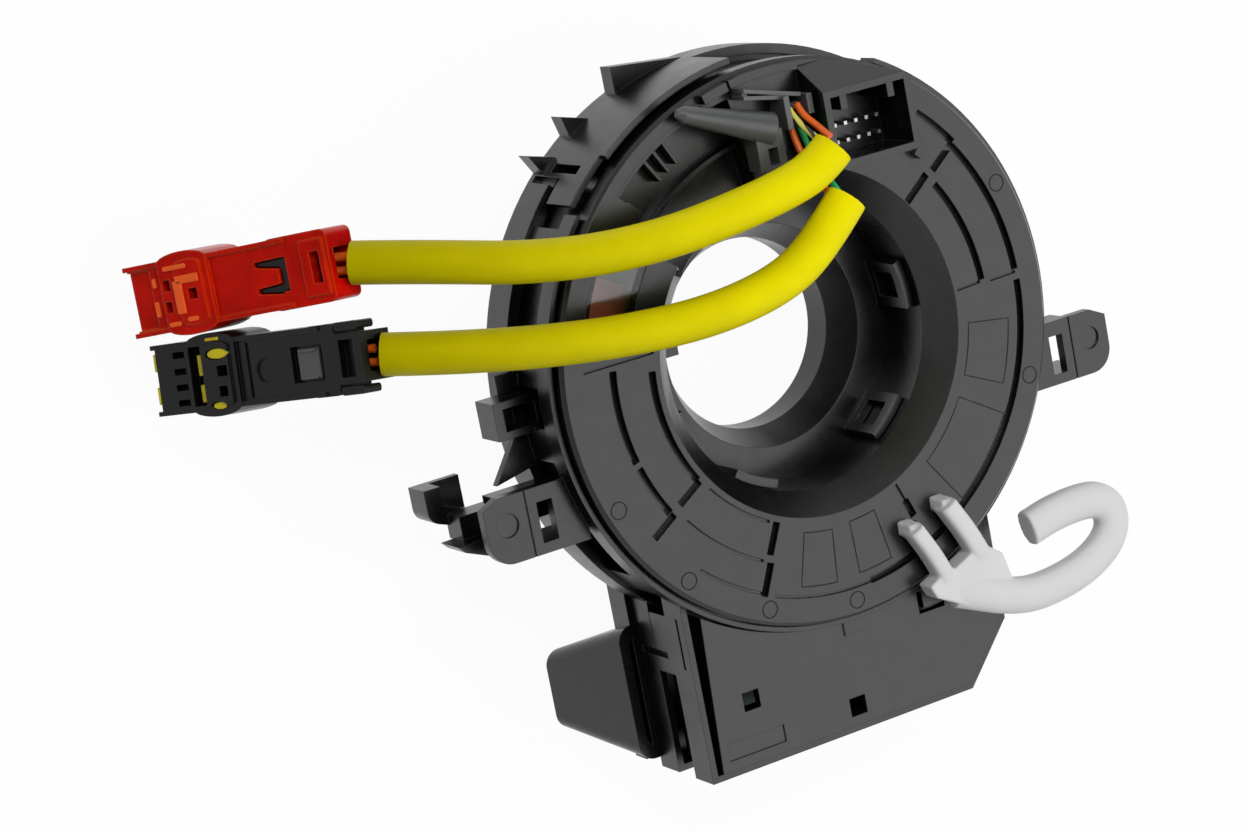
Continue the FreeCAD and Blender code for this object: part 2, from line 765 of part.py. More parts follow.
def box_walls(inset, z0, z1, keep_out):
    outer = prism(box_outline(inset), z0, z1)
    inner = prism(box_outline(inset + BOX_WALL), z0 - 1, z1 + 1)
    return outer.cut([inner, disc(keep_out, z0 - 1, z1 + 1)])


def ear(side, z0, z1):
    x0 = side * (WALL_R - EAR_ROOT)
    x1 = side * (EAR_X + EAR_TIP)
    points = [(x0, EAR_TOP_Y), (x1 - side * 2 * EAR_BEVEL, EAR_TOP_Y), (x1, EAR_TOP_Y - EAR_BEVEL),
              (x1, EAR_BOTTOM_Y), (x0, EAR_BOTTOM_Y)]
    radii = [0, 0, 0, EAR_R, 0]
    if side < 0:
        points.reverse()
        radii.reverse()
    return rounded_prism(points, radii, z0, z1)


def side_box(side, near, far, y0, y1, z0, z1):
    """A box given by its distances from the axis, on the right for side 1 and on the left for -1."""
    return block(min(side * near, side * far), max(side * near, side * far), y0, y1, z0, z1)


def ear_body(side):
    top = FACE_Z - EAR_DEPTH
    root = WALL_R - EAR_ROOT
    tip = EAR_X - 1.0
    rib_top = EAR_TOP_Y - EAR_RIB_INSET
    rib_low = EAR_BOTTOM_Y + 0.4
    plate = ear(side, top - EAR_T, top)
    ribs = [side_box(side, root, tip, rib_top - EAR_RIB_T, rib_top, BAND_TOP, top - 1),
            side_box(side, root, tip, rib_low, rib_low + EAR_RIB_T, BAND_TOP, top - 1)]
    slot_x = LIP_OUT_R + EAR_SLOT_OUT
    slot = side_box(side, slot_x, slot_x + EAR_SLOT_W, EAR_BOTTOM_Y + 1.9, EAR_TOP_Y - 2.7,
                    top - EAR_T - 1, top + 1)
    fold_x = slot_x + EAR_SLOT_W + 1.8
    fold = side_box(side, fold_x, fold_x + 0.3, EAR_BOTTOM_Y - 1, EAR_TOP_Y + 1, top - 0.25, top + 1)
    boss = disc(EAR_BOSS_R, top - 0.4, top + 1, side * EAR_X, EAR_Y)
    return union([plate] + ribs).cut([slot, fold, boss])


def snap_arm(angle):
    half = SNAP_SPAN / 2
    return sector(WALL_R - SEAM, LIP_OUT_R - SEAM, angle - half, angle + half, BAND_TOP, SKIRT_Z + 0.5)


def drum():
    return revolved([
        (HUB_OUT + HUB_GAP, FLOOR_BOTTOM),
        (WALL_R, FLOOR_BOTTOM),
        (WALL_R, SKIRT_Z - LIP_SLOPE),
        (LIP_OUT_R, SKIRT_Z),
        (LIP_OUT_R, LIP_TOP),
        (LIP_IN_R, LIP_TOP),
        (LIP_IN_R, STEP_Z),
        (CHAMBER_R, STEP_Z),
        (CHAMBER_R, FLOOR_TOP),
        (HUB_OUT + HUB_GAP, FLOOR_TOP),
    ])


def box_front():
    """The stator's part of the sensor box: the outer wall, the recessed wall, a shelf and two aprons."""
    keep_out = disc(WALL_R - SEAM, BOX_JOIN_Z - 1, FACE_Z)
    walls = box_walls(0.0, CHANNEL_Z, BOX_RIM_Z, WALL_R - SEAM)
    channel = box_walls(CHANNEL_INSET, BOX_JOIN_Z, SHELF_Z, WALL_R - SEAM)
    shelf = prism(box_outline(0.0), CHANNEL_Z, SHELF_Z)
    shelf = shelf.cut([prism(box_outline(CHANNEL_INSET + BOX_WALL), CHANNEL_Z - 1, SHELF_Z + 1), keep_out])
    aprons = []
    for side in (-1, 1):
        apron = side_box(side, BOX_HALF_W - CHANNEL_INSET - 0.5, BOX_HALF_W, APRON_Y0, APRON_Y1,
                         BOX_JOIN_Z + SEAM, SHELF_Z)
        slit = side_box(side, BOX_HALF_W - 1, BOX_HALF_W + 1, SLIT_Y0, SLIT_Y1,
                        BOX_JOIN_Z - 1, FACE_Z - SLIT_DEPTH)
        aprons.append(apron.cut(slit))
    tab = block(13.9, 24.0, BOX_BOTTOM_Y - 2.6, BOX_BOTTOM_Y + CHANNEL_INSET + 0.6, CHANNEL_Z - 2.6, CHANNEL_Z - 1.4)
    line_z = BOX_RIM_Z - 2.0
    line = block(-BOX_HALF_W - 1, -BOX_HALF_W + 0.4, APRON_Y0 + 1.6, APRON_Y1, line_z - SEAM_LINE, line_z)
    return union([walls, channel, shelf, tab] + aprons).cut(line)


def side_fittings():
    """The open block, the ledge and the gusset at the left of the drum."""
    root = WALL_R - 0.6
    out = BAND_R + SIDE_BLOCK_OUT
    top = FACE_Z - SIDE_BLOCK_DEPTH
    bottom = top - SIDE_BLOCK_H
    body = side_box(-1, root, out, SIDE_BLOCK_Y0, SIDE_BLOCK_Y1, bottom, top)
    hole = side_box(-1, WALL_R + 1.0, out - SIDE_BLOCK_WALL - 0.5, SIDE_BLOCK_Y0 + SIDE_BLOCK_WALL,
                    SIDE_BLOCK_Y1 - SIDE_BLOCK_WALL, bottom + SIDE_BLOCK_WALL, top + 1)
    ledge_z = FACE_Z - LEDGE_DEPTH
    ledge = side_box(-1, root, BAND_R + LEDGE_OUT, SIDE_BLOCK_Y1 - 0.5, LEDGE_Y1, ledge_z - LEDGE_T, ledge_z)
    gusset = prism([(-root, -9.0), (-BAND_R - 6.6, -11.0), (-BAND_R - 1.0, -3.0), (-root, -2.0)],
                   BAND_TOP, BAND_TOP + 1.6)
    return [body.cut(hole), ledge, gusset]


def stator_case():
    foot = ring(BAND_R - SEAT_W, WALL_R, BOX_JOIN_Z, FLOOR_BOTTOM + 0.5)
    arms = [snap_arm(angle) for angle in SNAP_ANGLES]
    stubs = [disc(STUB_R, GEAR_TOP - 0.8, FLOOR_BOTTOM + 0.5, x, y) for x, y in magnet_gear_centres()]
    parts = [drum(), foot, box_front(), ear_body(1), ear_body(-1)] + side_fittings()
    body = union(parts + arms + stubs)
    cuts = [
        disc(CHAMBER_R, FLOOR_TOP, FACE_Z + 5),
        disc(LIP_IN_R, STEP_Z, FACE_Z + 5),
        ring(WALL_R, BAND_R + SEAM, REAR_Z, BAND_TOP),
        ring(BAND_R - SEAT_W, BAND_R + SEAM, REAR_Z, BOX_JOIN_Z),
        sector(WALL_R, LIP_OUT_R + 1, LIP_GAP_A0, LIP_GAP_A1, SKIRT_Z - LIP_SLOPE - 1, FACE_Z + 1),
    ]
    return body.cut(cuts)


# Rear cover: the smooth outer band, the rear plate, the middle of the sensor box, fins and skirt

def fin(root_a0, tip_angle, tip_out, root_a1):
    top = FACE_Z - FIN_DEPTH
    root = BAND_R - 0.6
    points = [polar(root, root_a0), polar(BAND_R + tip_out, tip_angle), polar(root, root_a1)]
    return prism([(p.x, p.y) for p in points], top - FIN_H, top)


def rear_claws():
    """A hook with a webbed floor and a low pointed one, carried by an arm from the band."""
    far = -(EAR_X + CLAW_REACH)
    near = -(EAR_X - 1.5)
    inside = far + CLAW_T
    top_y = -9.5
    elbow_y = -15.2
    arm_y = -18.6
    top = FACE_Z - CLAW_DEPTH
    hook = rounded_prism([(far, top_y), (far, elbow_y), (near, arm_y), (near, arm_y + CLAW_T),
                          (inside, elbow_y + 2.2), (inside, top_y)],
                         [0, CLAW_R, 0, 0, 0, 0], top - CLAW_H, top)
    web = prism([(far + 1, top_y), (far + 1, elbow_y), (near, arm_y + 1), (near, top_y)],
                top - CLAW_H, top - CLAW_H + CLAW_WEB_T)
    low = prism([(-EAR_X - 6.8, arm_y - 0.2), (-EAR_X - 5.7, arm_y - 1.4), (-EAR_X - 0.2, arm_y - 3.7),
                 (-EAR_X - 0.2, arm_y)], FACE_Z - CLAW_DEPTH + 1, FACE_Z - 12.0)
    bridge_top = BAND_TOP - SEAM
    bridge = side_box(-1, BAND_R - 4.0, EAR_X + 4.0, arm_y - 0.4, arm_y + 4.0, bridge_top - BRIDGE_H, bridge_top)
    return [hook, web, low, bridge]


def raised_wall():
    """The band's high part beside the rotor rim and the slotted snap plate at its end."""
    inner = BAND_R - RAISED_T
    foot = BAND_TOP - SEAM - 1.0
    wall = sector(inner, BAND_R, RAISED_A0, RAISED_A1, foot, FACE_Z - RAISED_DEPTH)
    root = sector(inner, BAND_R, RAISED_A1 - 0.4, SNAP_PLATE_ROOT_A, foot, FACE_Z - SNAP_PLATE_FOOT + 0.5)
    plate = sector(inner, BAND_R, RAISED_A1 - 0.4, SNAP_PLATE_A1, FACE_Z - SNAP_PLATE_FOOT,
                   FACE_Z - SNAP_PLATE_DEPTH)
    return [wall, root, plate]


def gear_rooms():
    """Space round each magnet gear, from its bearing up."""
    rooms = []
    for (x, y), teeth in zip(magnet_gear_centres(), MAGNET_TEETH):
        room_r = GEAR_MODULE * (teeth / 2 + ADDENDUM) + GEAR_ROOM
        rooms.append(disc(room_r, GEAR_BOTTOM - BEARING_GAP, BOX_JOIN_Z + 1, x, y))
    return rooms


def rear_cover():
    band = ring(BAND_R - BAND_T, BAND_R, REAR_Z, BAND_TOP - SEAM)
    seat = ring(BAND_R - SEAT_W, BAND_R, REAR_Z, BOX_JOIN_Z)
    plate = disc(BAND_R, REAR_Z, PLATE_TOP)
    box = box_walls(0.0, REAR_Z, BOX_JOIN_Z, BAND_R - 1.2)
    floor = prism(box_outline(0.0), REAR_Z, PLATE_TOP).cut(disc(BAND_R - 1.2, REAR_Z - 1, PLATE_TOP + 1))
    window = block(-24.0, 14.0, BOX_BOTTOM_Y + 3.0, -54.6, REAR_Z - 1, PLATE_TOP + 1)
    bearings = []
    for (x, y), teeth in zip(magnet_gear_centres(), MAGNET_TEETH):
        rim_r = GEAR_MODULE * teeth / 2 - 2.6
        bearings.append(disc(rim_r, PLATE_TOP - 0.5, GEAR_BOTTOM - BEARING_GAP, x, y))
    skirt = sector(SKIRT_R0, SKIRT_R1, SKIRT_A0, SKIRT_A1, REST_Z, REAR_Z + 1)
    skirt_tip = sector(SKIRT_R0, SKIRT_R1, SKIRT_A0 + 9, SKIRT_A1 - 9, REST_Z - 1, REST_Z + 7)
    fins = [fin(90.5, 109.6, 4.5, 111.6), fin(118.1, 122.8, 3.9, 124.4), fin(128.4, 132.2, 4.5, 133.3)]
    body = union([plate, seat, band, box, floor, skirt] + fins + bearings + rear_claws() + raised_wall())
    bore = disc(TUBE_OUT + HUB_GAP, REST_Z, FACE_Z)
    slot = sector(BAND_R - 2 * BAND_T, BAND_R + 1, SNAP_SLOT_A0, SNAP_SLOT_A1,
                  FACE_Z - SNAP_SLOT_FOOT, FACE_Z - SNAP_SLOT_TOP)
    notch = sector(BAND_R - 1, BAND_R + 1, SNAP_PLATE_ROOT_A, BAND_NOTCH_A1, FACE_Z - 22.0, FACE_Z - 15.0)
    slit = side_box(-1, BOX_HALF_W - 1, BOX_HALF_W + 1, SLIT_Y0, SLIT_Y1, PLATE_TOP, BOX_JOIN_Z + 1)
    body = body.cut([bore, window, skirt_tip, slot, notch, slit] + gear_rooms())
    posts = [disc(BOARD_POST_R, REAR_Z - BOARD_STAND, REAR_Z + 0.5, x, y) for x, y in board_posts()]
    return union([body] + posts)


def magnet_gear_centres():
    centres = []
    for teeth, steps in zip(MAGNET_TEETH, MAGNET_GEAR_TOOTH_STEPS):
        distance = GEAR_MODULE * (DRIVE_TEETH + teeth) / 2
        point = polar(distance, steps * 360.0 / DRIVE_TEETH)
        centres.append((point.x, point.y))
    return centres


def magnet_gear(index):
    teeth = MAGNET_TEETH[index]
    x, y = magnet_gear_centres()[index]
    line = MAGNET_GEAR_TOOTH_STEPS[index] * 360.0 / DRIVE_TEETH
    phase = line + 180.0 + 180.0 / teeth
    height = GEAR_H - GEAR_BACKSET
    gear = gear_solid(teeth, phase, height, GEAR_BOTTOM, x, y)
    hub = disc(GEAR_HUB_R, GEAR_TOP - GEAR_BACKSET - 0.5, GEAR_TOP + 0.9, x, y)
    stub_hole = disc(STUB_R + RUNNING_CLEARANCE, GEAR_TOP - 1.0, GEAR_TOP + 2, x, y)
    pocket = disc(MAGNET_R, GEAR_BOTTOM - 1, GEAR_BOTTOM + MAGNET_H, x, y)
    return gear.fuse(hub).cut([stub_hole, pocket])


def magnet(index):
    x, y = magnet_gear_centres()[index]
    return disc(MAGNET_R, GEAR_BOTTOM, GEAR_BOTTOM + MAGNET_H, x, y)


# Sensor covers, board and rear connector

def sensor_cover():
    keep_out = LIP_OUT_R + RIM_GAP
    plate = prism(cover_outline(0.0), COVER_TOP - COVER_T, COVER_TOP)
    outer = prism(cover_outline(COVER_SKIRT_INSET), SHELF_Z, COVER_TOP - COVER_T + 0.3)
    inner = prism(cover_outline(COVER_SKIRT_INSET + BOX_WALL), SHELF_Z - 1, COVER_TOP - COVER_T)
    latch = block(-1.7, 3.0, -keep_out - 2.6, -keep_out + 0.5, COVER_TOP - 0.5, COVER_TOP + 0.3)
    body = union([plate, outer.cut(inner), latch]).cut(disc(keep_out, 0, FACE_Z))
    half = 1.7
    holes = [block(x - half, x + half, y - half, y + half, COVER_TOP - COVER_T - 1, COVER_TOP + 1)
             for x, y in ((-22.8, BOX_BOTTOM_Y + 12.7), (-1.5, BOX_BOTTOM_Y + 4.8))]
    hook_slots = [block(15.6, 20.2, -55.2, -54.3, COVER_TOP - COVER_T - 1, COVER_TOP + 1),
                  block(14.6, 15.7, -55.2, -51.0, COVER_TOP - COVER_T - 1, COVER_TOP + 1)]
    panel = block(-29.2, -17.3, BOX_BOTTOM_Y + 3.2, BOX_BOTTOM_Y + 6.4, COVER_TOP - 0.3, COVER_TOP + 1)
    return body.cut(holes + hook_slots + [panel])


def pan_top():
    """The upper edge of the pan, a margin above the first magnet gear's centre."""
    return magnet_gear_centres()[0][1] + PAN_TOP_MARGIN


def board_posts():
    y1 = pan_top() - BOARD_TOP_INSET - BOARD_POST_INSET
    xs = (PAN_LEFT_X + BOARD_LEFT_INSET + BOARD_POST_INSET, PAN_RIGHT_X - BOARD_RIGHT_INSET - BOARD_POST_INSET)
    return [(x, y) for x in xs for y in (y1, y1 - BOARD_POST_SPAN)]


def sensor_board():
    top = REAR_Z - BOARD_STAND
    return block(PAN_LEFT_X + BOARD_LEFT_INSET, PAN_RIGHT_X - BOARD_RIGHT_INSET, HOOD_BOTTOM_Y + BOARD_LOW_INSET,
                 pan_top() - BOARD_TOP_INSET, top - BOARD_T, top)


def board_chips():
    top = REAR_Z - BOARD_STAND
    half_w = SENSOR_CHIP_W / 2
    half_l = SENSOR_CHIP_L / 2
    chips = [block(x - half_w, x + half_w, y - half_l, y + half_l, top, top + CHIP_T)
             for x, y in magnet_gear_centres()]
    half = MAIN_CHIP_W / 2
    main_y = HOOD_BOTTOM_Y + MAIN_CHIP_RISE
    chips.append(block(-half, half, main_y - half, main_y + half, top, top + CHIP_T))
    return Part.makeCompound(chips)


def rounded_frame(left, right, top, bottom, z):
    """A closed outline with round corners, drawn from the lower left corner."""
    r = HOOD_CORNER_R
    dip = r * (1 - math.sqrt(0.5))
    corners = [
        (V(left, bottom + r, z), V(left + dip, bottom + dip, z), V(left + r, bottom, z)),
        (V(right - r, bottom, z), V(right - dip, bottom + dip, z), V(right, bottom + r, z)),
        (V(right, top - r, z), V(right - dip, top - dip, z), V(right - r, top, z)),
        (V(left + r, top, z), V(left + dip, top - dip, z), V(left, top - r, z)),
    ]
    edges = []
    for k in range(4):
        edges.append(Part.Arc(*corners[k]).toShape())
        edges.append(Part.makeLine(corners[k][2], corners[(k + 1) % 4][0]))
    return Part.Wire(edges)


def hood_loft(grow):
    front = rounded_frame(HOOD_LEFT_X - grow, HOOD_RIGHT_X + grow, HOOD_TOP_Y + grow,
                          HOOD_BOTTOM_Y - grow, REAR_Z)
    rear = rounded_frame(HOOD_END_LEFT_X - grow, HOOD_END_RIGHT_X + grow, HOOD_END_TOP_Y + grow,
                         HOOD_END_BOTTOM_Y - grow, REST_Z)
    return Part.makeLoft([front, rear], True, True)


def socket_boxes():
    """The two harness sockets, open at the rear: x0, x1, y0, y1 of each."""
    wall = HOOD_WALL
    x0 = HOOD_END_LEFT_X + wall + 1.5
    x1 = x0 + SOCKET_A_W
    x2 = x1 + wall
    x3 = x2 + SOCKET_B_W
    y0 = HOOD_END_BOTTOM_Y + wall
    y1 = HOOD_END_TOP_Y - wall
    return [(x0, x1, y0, y1), (x2, x3, y0, y1)]


def rear_shell():
    outer = hood_loft(0.0)
    inner = hood_loft(-HOOD_WALL)
    shell = outer.cut(inner)
    socket_floor = FACE_Z - SOCKET_FLOOR_DEPTH
    core = block(HOOD_END_LEFT_X - 5, HOOD_END_RIGHT_X + 5, HOOD_BOTTOM_Y - 5, HOOD_TOP_Y + 5,
                 REST_Z, socket_floor + 1.6)
    core = core.common(hood_loft(-0.4))
    holes = [block(x0, x1, y0, y1, REST_Z - 1, socket_floor) for x0, x1, y0, y1 in socket_boxes()]
    core = core.cut(holes)
    pan_bottom = REAR_Z - BOARD_STAND - BOARD_T - TAIL_H - PAN_WALL
    pan = block(PAN_LEFT_X, PAN_RIGHT_X, HOOD_BOTTOM_Y + 0.8, pan_top(), pan_bottom, REAR_Z)
    board_room = block(PAN_LEFT_X + PAN_WALL, PAN_RIGHT_X - PAN_WALL, HOOD_BOTTOM_Y + 0.8 + PAN_WALL,
                       pan_top() - PAN_WALL, pan_bottom + PAN_WALL, REAR_Z + 1)
    nub = block(-33.0, -27.0, HOOD_BOTTOM_Y - 1.6, HOOD_BOTTOM_Y + 2.4, FACE_Z - 33.0, FACE_Z - 29.0)
    return union([shell, core, pan, nub]).cut([board_room])


def rear_terminals():
    pins = []
    socket_floor = FACE_Z - SOCKET_FLOOR_DEPTH
    for x0, x1, y0, y1 in socket_boxes():
        count = int((x1 - x0 - 4) / PIN_PITCH / 1.5)
        for k in range(count):
            x = (x0 + x1) / 2 + (k - (count - 1) / 2) * PIN_PITCH * 1.5
            for y in (y0 + (y1 - y0) * 0.35, y0 + (y1 - y0) * 0.65):
                pins.append(block(x - 0.4, x + 0.4, y - 0.4, y + 0.4, REST_Z + 5.0, socket_floor))
    return Part.makeCompound(pins)


# Flat cable, roller carrier, rollers and the neutral marker

def flat_cable():
    z0 = ROLLER_Z0
    z1 = ROLLER_Z1
    inner = ring(INNER_COIL_R0, INNER_COIL_R1, z0, z1)
    outer = ring(OUTER_COIL_R0, OUTER_COIL_R1, z0, z1)
    turn_r = COIL_SPACE + COIL_OVERLAP
    centre = polar(ROLLER_RING_R, ROLLER_A0)
    loop = disc(turn_r, z0, z1, centre.x, centre.y).cut(disc(turn_r - CABLE_T, z0, z1, centre.x, centre.y))
    behind = turned(block(0, RIM_R, 0, RIM_R, z0 - 1, z1 + 1), ROLLER_A0)
    return union([inner, outer, loop.common(behind)])


def roller_centre(index):
    return polar(ROLLER_RING_R, ROLLER_A0 + index * 360.0 / ROLLER_COUNT)


def roller_carrier():
    body = ring(INNER_COIL_R1 + CARRIER_SIDE_GAP, OUTER_COIL_R0 - CARRIER_SIDE_GAP,
                CARRIER_Z, CARRIER_Z + CARRIER_T)
    pins = []
    for k in range(ROLLER_COUNT):
        centre = roller_centre(k)
        pins.append(disc(ROLLER_PIN_R, CARRIER_Z, ROLLER_Z1 - 0.3, centre.x, centre.y))
    return union([body] + pins)


def guide_roller(index):
    centre = roller_centre(index)
    body = disc(ROLLER_R, ROLLER_Z0, ROLLER_Z1, centre.x, centre.y)
    return body.cut(disc(ROLLER_PIN_R + RUNNING_CLEARANCE, ROLLER_Z0, ROLLER_Z1, centre.x, centre.y))


def neutral_marker():
    middle = (WINDOW_A0 + WINDOW_A1) / 2
    return sector(ROLLER_RING_R - 3.2, ROLLER_RING_R + 4.2, middle - 5, middle + 5,
                  CARRIER_Z + CARRIER_T, ROLLER_Z1)


# Lead guide with its tapered peg, beside the tower

def wall_between(start, end, thickness, height):
    """A thin upright wall on the face, from one point to another, thick to its left."""
    along = V(end[0] - start[0], end[1] - start[1], 0)
    angle = math.degrees(math.atan2(along.y, along.x))
    shape = turned(block(0, along.Length, 0, thickness, FACE_Z, FACE_Z + height), angle)
    shape.translate(V(start[0], start[1], 0))
    return shape


def guide_peg(start, end, small_r, big_r):
    along = end - start
    tip_l = 1.2
    tip = start - along * (tip_l / along.Length)
    body = Part.makeCone(small_r, big_r, along.Length, start, along)
    return body.fuse(Part.makeCone(small_r / 2, small_r, tip_l, tip, along))


def lead_guide():
    """A tapered peg on a slotted arm, two prongs joined by a bar, and two thin walls behind them."""
    x = TOWER_X0
    y = TOWER_Y1
    peg = guide_peg(V(x - 25.0, y + 1.9, FACE_Z + 2.6), V(x - 9.0, y - 4.3, FACE_Z + 3.2), 1.5, 2.9)
    arm = block(x - 12.6, x - 7.2, y - 11.1, y - 4.5, FACE_Z, FACE_Z + 4.0)
    arm_slot = block(x - 10.6, x - 8.6, y - 10.5, y - 7.5, FACE_Z - 1, FACE_Z + 5)
    foot = block(x - 10.0, x - 5.3, y - 9.0, y - 2.0, FACE_Z, FACE_Z + 1.2)
    prongs = [block(x - 6.4, x - 5.3, y - 5.1, y + 0.7, FACE_Z, FACE_Z + 5.0),
              block(x - 1.8, x - 0.7, y - 3.3, y + 0.2, FACE_Z, FACE_Z + 5.0)]
    bar = block(x - 6.0, x - 1.2, y - 2.3, y - 1.1, FACE_Z, FACE_Z + 1.7)
    walls = [wall_between((x - 13.6, y + 1.7), (x - 5.6, y + 0.1), 0.7, 4.0),
             wall_between((x - 13.4, y + 2.9), (x - 2.3, y - 0.1), 0.7, 4.0)]
    link = block(x - 13.4, x - 12.4, y + 1.8, y + 3.2, FACE_Z, FACE_Z + 3.4)
    return union([peg, arm.cut(arm_slot), foot, bar, link] + prongs + walls)


# Lock clip: two prongs seated in the rotor, a body over the rim and a hooked tail

CLIP_H = 4.6
TAIL_W = 6.4
TAIL_LIFT = 1.2
TAIL_EDGE = 1.2
TAIL_STEPS = 16
TAIL_LINE = [(0.5, -3.3), (7.4, -7.7), (14.9, -9.6), (23.1, -8.7), (29.5, -5.4), (31.9, -1.3),
             (28.8, 2.8), (22.3, 4.7), (16.0, 4.0)]


def lock_clip():
    z0 = FACE_Z + SEAT_CLEARANCE
    z1 = FACE_Z + CLIP_H
    prongs = []
    for x, y, angle in CLIP_PRONGS:
        prongs.append(prong_box(x, y, angle, 0.0, CEILING + 0.2, z1 - 0.8))
    fingers = [
        prism(at_clip([(-9.4, 8.7), (-6.1, 8.1), (-2.0, -2.9), (-6.2, -3.6)]), z0, z1 - 0.6),
        prism(at_clip([(-1.7, 11.5), (1.9, 9.9), (8.0, -1.0), (3.4, -1.9)]), z0, z1 - 0.6),
    ]
    base = rounded_prism(at_clip([(-6.7, -2.7), (8.1, 0.1), (10.2, -2.8), (9.2, -11.6), (6.2, -11.8),
                                  (-5.0, -6.0)]), [0, 0, 0, 1.5, 2.0, 1.5], z0, z1)
    return union([base, clip_tail(z0 + TAIL_LIFT, z1 + TAIL_LIFT)] + fingers + prongs)


def tail_outline(width, z):
    """The hook's outline at one height: two curves beside its centre line, a root and a round end."""
    line = Part.BSplineCurve()
    line.interpolate([V(x, y, z) for x, y in at_clip(TAIL_LINE)])
    left = []
    right = []
    for k in range(TAIL_STEPS + 1):
        at = line.FirstParameter + (line.LastParameter - line.FirstParameter) * k / TAIL_STEPS
        point = line.value(at)
        along = V(*line.tangent(at)[0]).normalize()
        across = V(-along.y, along.x, 0) * (width / 2)
        left.append(point + across)
        right.append(point - across)
    sides = [Part.BSplineCurve(), Part.BSplineCurve()]
    sides[0].interpolate(left)
    sides[1].interpolate(right[::-1])
    cap = Part.Arc(left[-1], point + along * (width / 2), right[-1])
    root = Part.makeLine(right[0], left[0])
    return Part.Wire([sides[0].toShape(), cap.toShape(), sides[1].toShape(), root])


def clip_tail(z0, z1):
    """The smooth hook, one width all along, with its long edges bevelled."""
    narrow = TAIL_W - 2 * TAIL_EDGE
    outlines = [tail_outline(narrow, z0), tail_outline(TAIL_W, z0 + TAIL_EDGE),
                tail_outline(TAIL_W, z1 - TAIL_EDGE), tail_outline(narrow, z1)]
    return Part.makeLoft(outlines, True, True)


# Leads: yellow sleeves, short coloured wires and the two airbag plugs

def at_face(points):
    return [(x, y, FACE_Z + z) for x, y, z in points]


LEAD_1_ROUTE = at_face([
    (4.2, 34.4, 11.4), (0.8, 31.6, 10.9), (-6.0, 29.5, 10.3), (-16.0, 27.9, 9.5), (-29.0, 26.6, 8.8),
    (-43.5, 27.2, 8.2), (-56.5, 29.3, 7.3), (-67.5, 32.1, 4.9), (-75.5, 33.9, 0.9), (-80.9, 34.9, -3.6)])
LEAD_2_ROUTE = at_face([
    (5.7, 25.0, 10.2), (-1.2, 18.4, 10.0), (-9.6, 13.7, 9.4), (-24.0, 11.7, 8.8), (-41.0, 12.7, 8.2),
    (-55.5, 14.8, 7.4), (-67.2, 17.0, 5.9), (-75.8, 18.7, 2.9), (-81.2, 19.6, -0.9)])
PLUG_1_START = (-82.4, 35.2, FACE_Z - 5.4)
PLUG_1_END = (-107.2, 31.9, FACE_Z - 41.2)
PLUG_2_START = (-82.8, 19.8, FACE_Z - 2.4)
PLUG_2_END = (-105.0, 17.9, FACE_Z - 41.4)


def plug_axis(start, end):
    return tuple(b - a for a, b in zip(start, end))


def plug_length(start, end):
    return V(*plug_axis(start, end)).Length


def wire_between(points):
    return tube(at_face(points), WIRE_R)


def lead_1_wires():
    return Part.makeCompound([
        wire_between([(3.4, 42.0, 3.4), (3.5, 40.0, 5.0), (4.9, 37.6, 8.6), (4.6, 34.6, 12.0)]),
        wire_between([(2.0, 41.4, 2.8), (2.1, 39.2, 4.4), (2.8, 36.9, 7.8), (3.2, 34.2, 11.2)]),
    ])


def lead_2_wires():
    return Part.makeCompound([
        wire_between([(3.7, 39.6, 2.0), (4.1, 34.6, 3.0), (4.9, 29.0, 6.2), (5.5, 24.6, 10.2)]),
        wire_between([(2.0, 39.4, 2.0), (2.2, 34.6, 3.0), (3.1, 29.0, 6.0), (3.8, 24.8, 9.8)]),
    ])


def tail_wires(route, start, end):
    sleeve_end = V(*route[-1])
    along = V(*plug_axis(start, end)).normalize()
    plug = V(*start) + along * TAIL_SEAT
    side = V(0, 0, 1).cross(along).normalize()
    wires = []
    for offset in (-1.2, 1.2):
        a = sleeve_end + side * offset
        b = plug + side * offset
        wires.append(Part.makeCylinder(WIRE_R, (b - a).Length, a, b - a))
    return Part.makeCompound(wires)


def plug_housing(length, window_places):
    """A plug seen along X from its cable end: a wide end frame, a slim body, a collar and the nose."""
    half = PLUG_W / 2
    top = PLUG_T / 2
    collar_x0 = length - PLUG_NOSE_L - PLUG_COLLAR_L
    collar_x1 = length - PLUG_NOSE_L
    frame = block(0, PLUG_FRAME_L, -half - 0.4, half + 0.4, -top - 0.3, top + 0.3)
    body = block(PLUG_FRAME_L - 1, collar_x0 + 1, -half + PLUG_STEP, half - PLUG_STEP, -top, top)
    collar = block(collar_x0, collar_x1, -half, half, -top - 0.6, top + 0.6)
    collar = collar.makeChamfer(PLUG_STEP, [e for e in collar.Edges if abs(e.Length - PLUG_COLLAR_L) < 0.01])
    nose = block(collar_x1 - 1, length, -half + PLUG_STEP, half - PLUG_STEP, -top + 0.6, top - 0.6)
    rails = [block(PLUG_FRAME_L, collar_x0, side * (half - PLUG_STEP - 0.4) - 0.4,
                   side * (half - PLUG_STEP - 0.4) + 0.4, top - 0.5, top + 0.5) for side in (-1, 1)]
    shape = union([frame, body, collar, nose] + rails)
    cuts = [block(length - 6.0, length + 1, y - 1.3, y + 1.3, -3.2, 0.6) for y in (-3.2, 3.2)]
    cuts.append(block(-1, TAIL_SEAT, -2.4, 2.4, -2.2, 2.2))
    cuts.append(block(1.6, PLUG_FRAME_L - 1.4, -3.6, 3.6, top - 1.4, top + 1))
    cuts.append(plug_retainer(length))
    for x, y, w, d in window_places:
        cuts.append(block(length - x, length - x + w, y - d / 2, y + d / 2, top - RETAINER_DEPTH - 0.1, top + 2))
    return shape.cut(cuts)


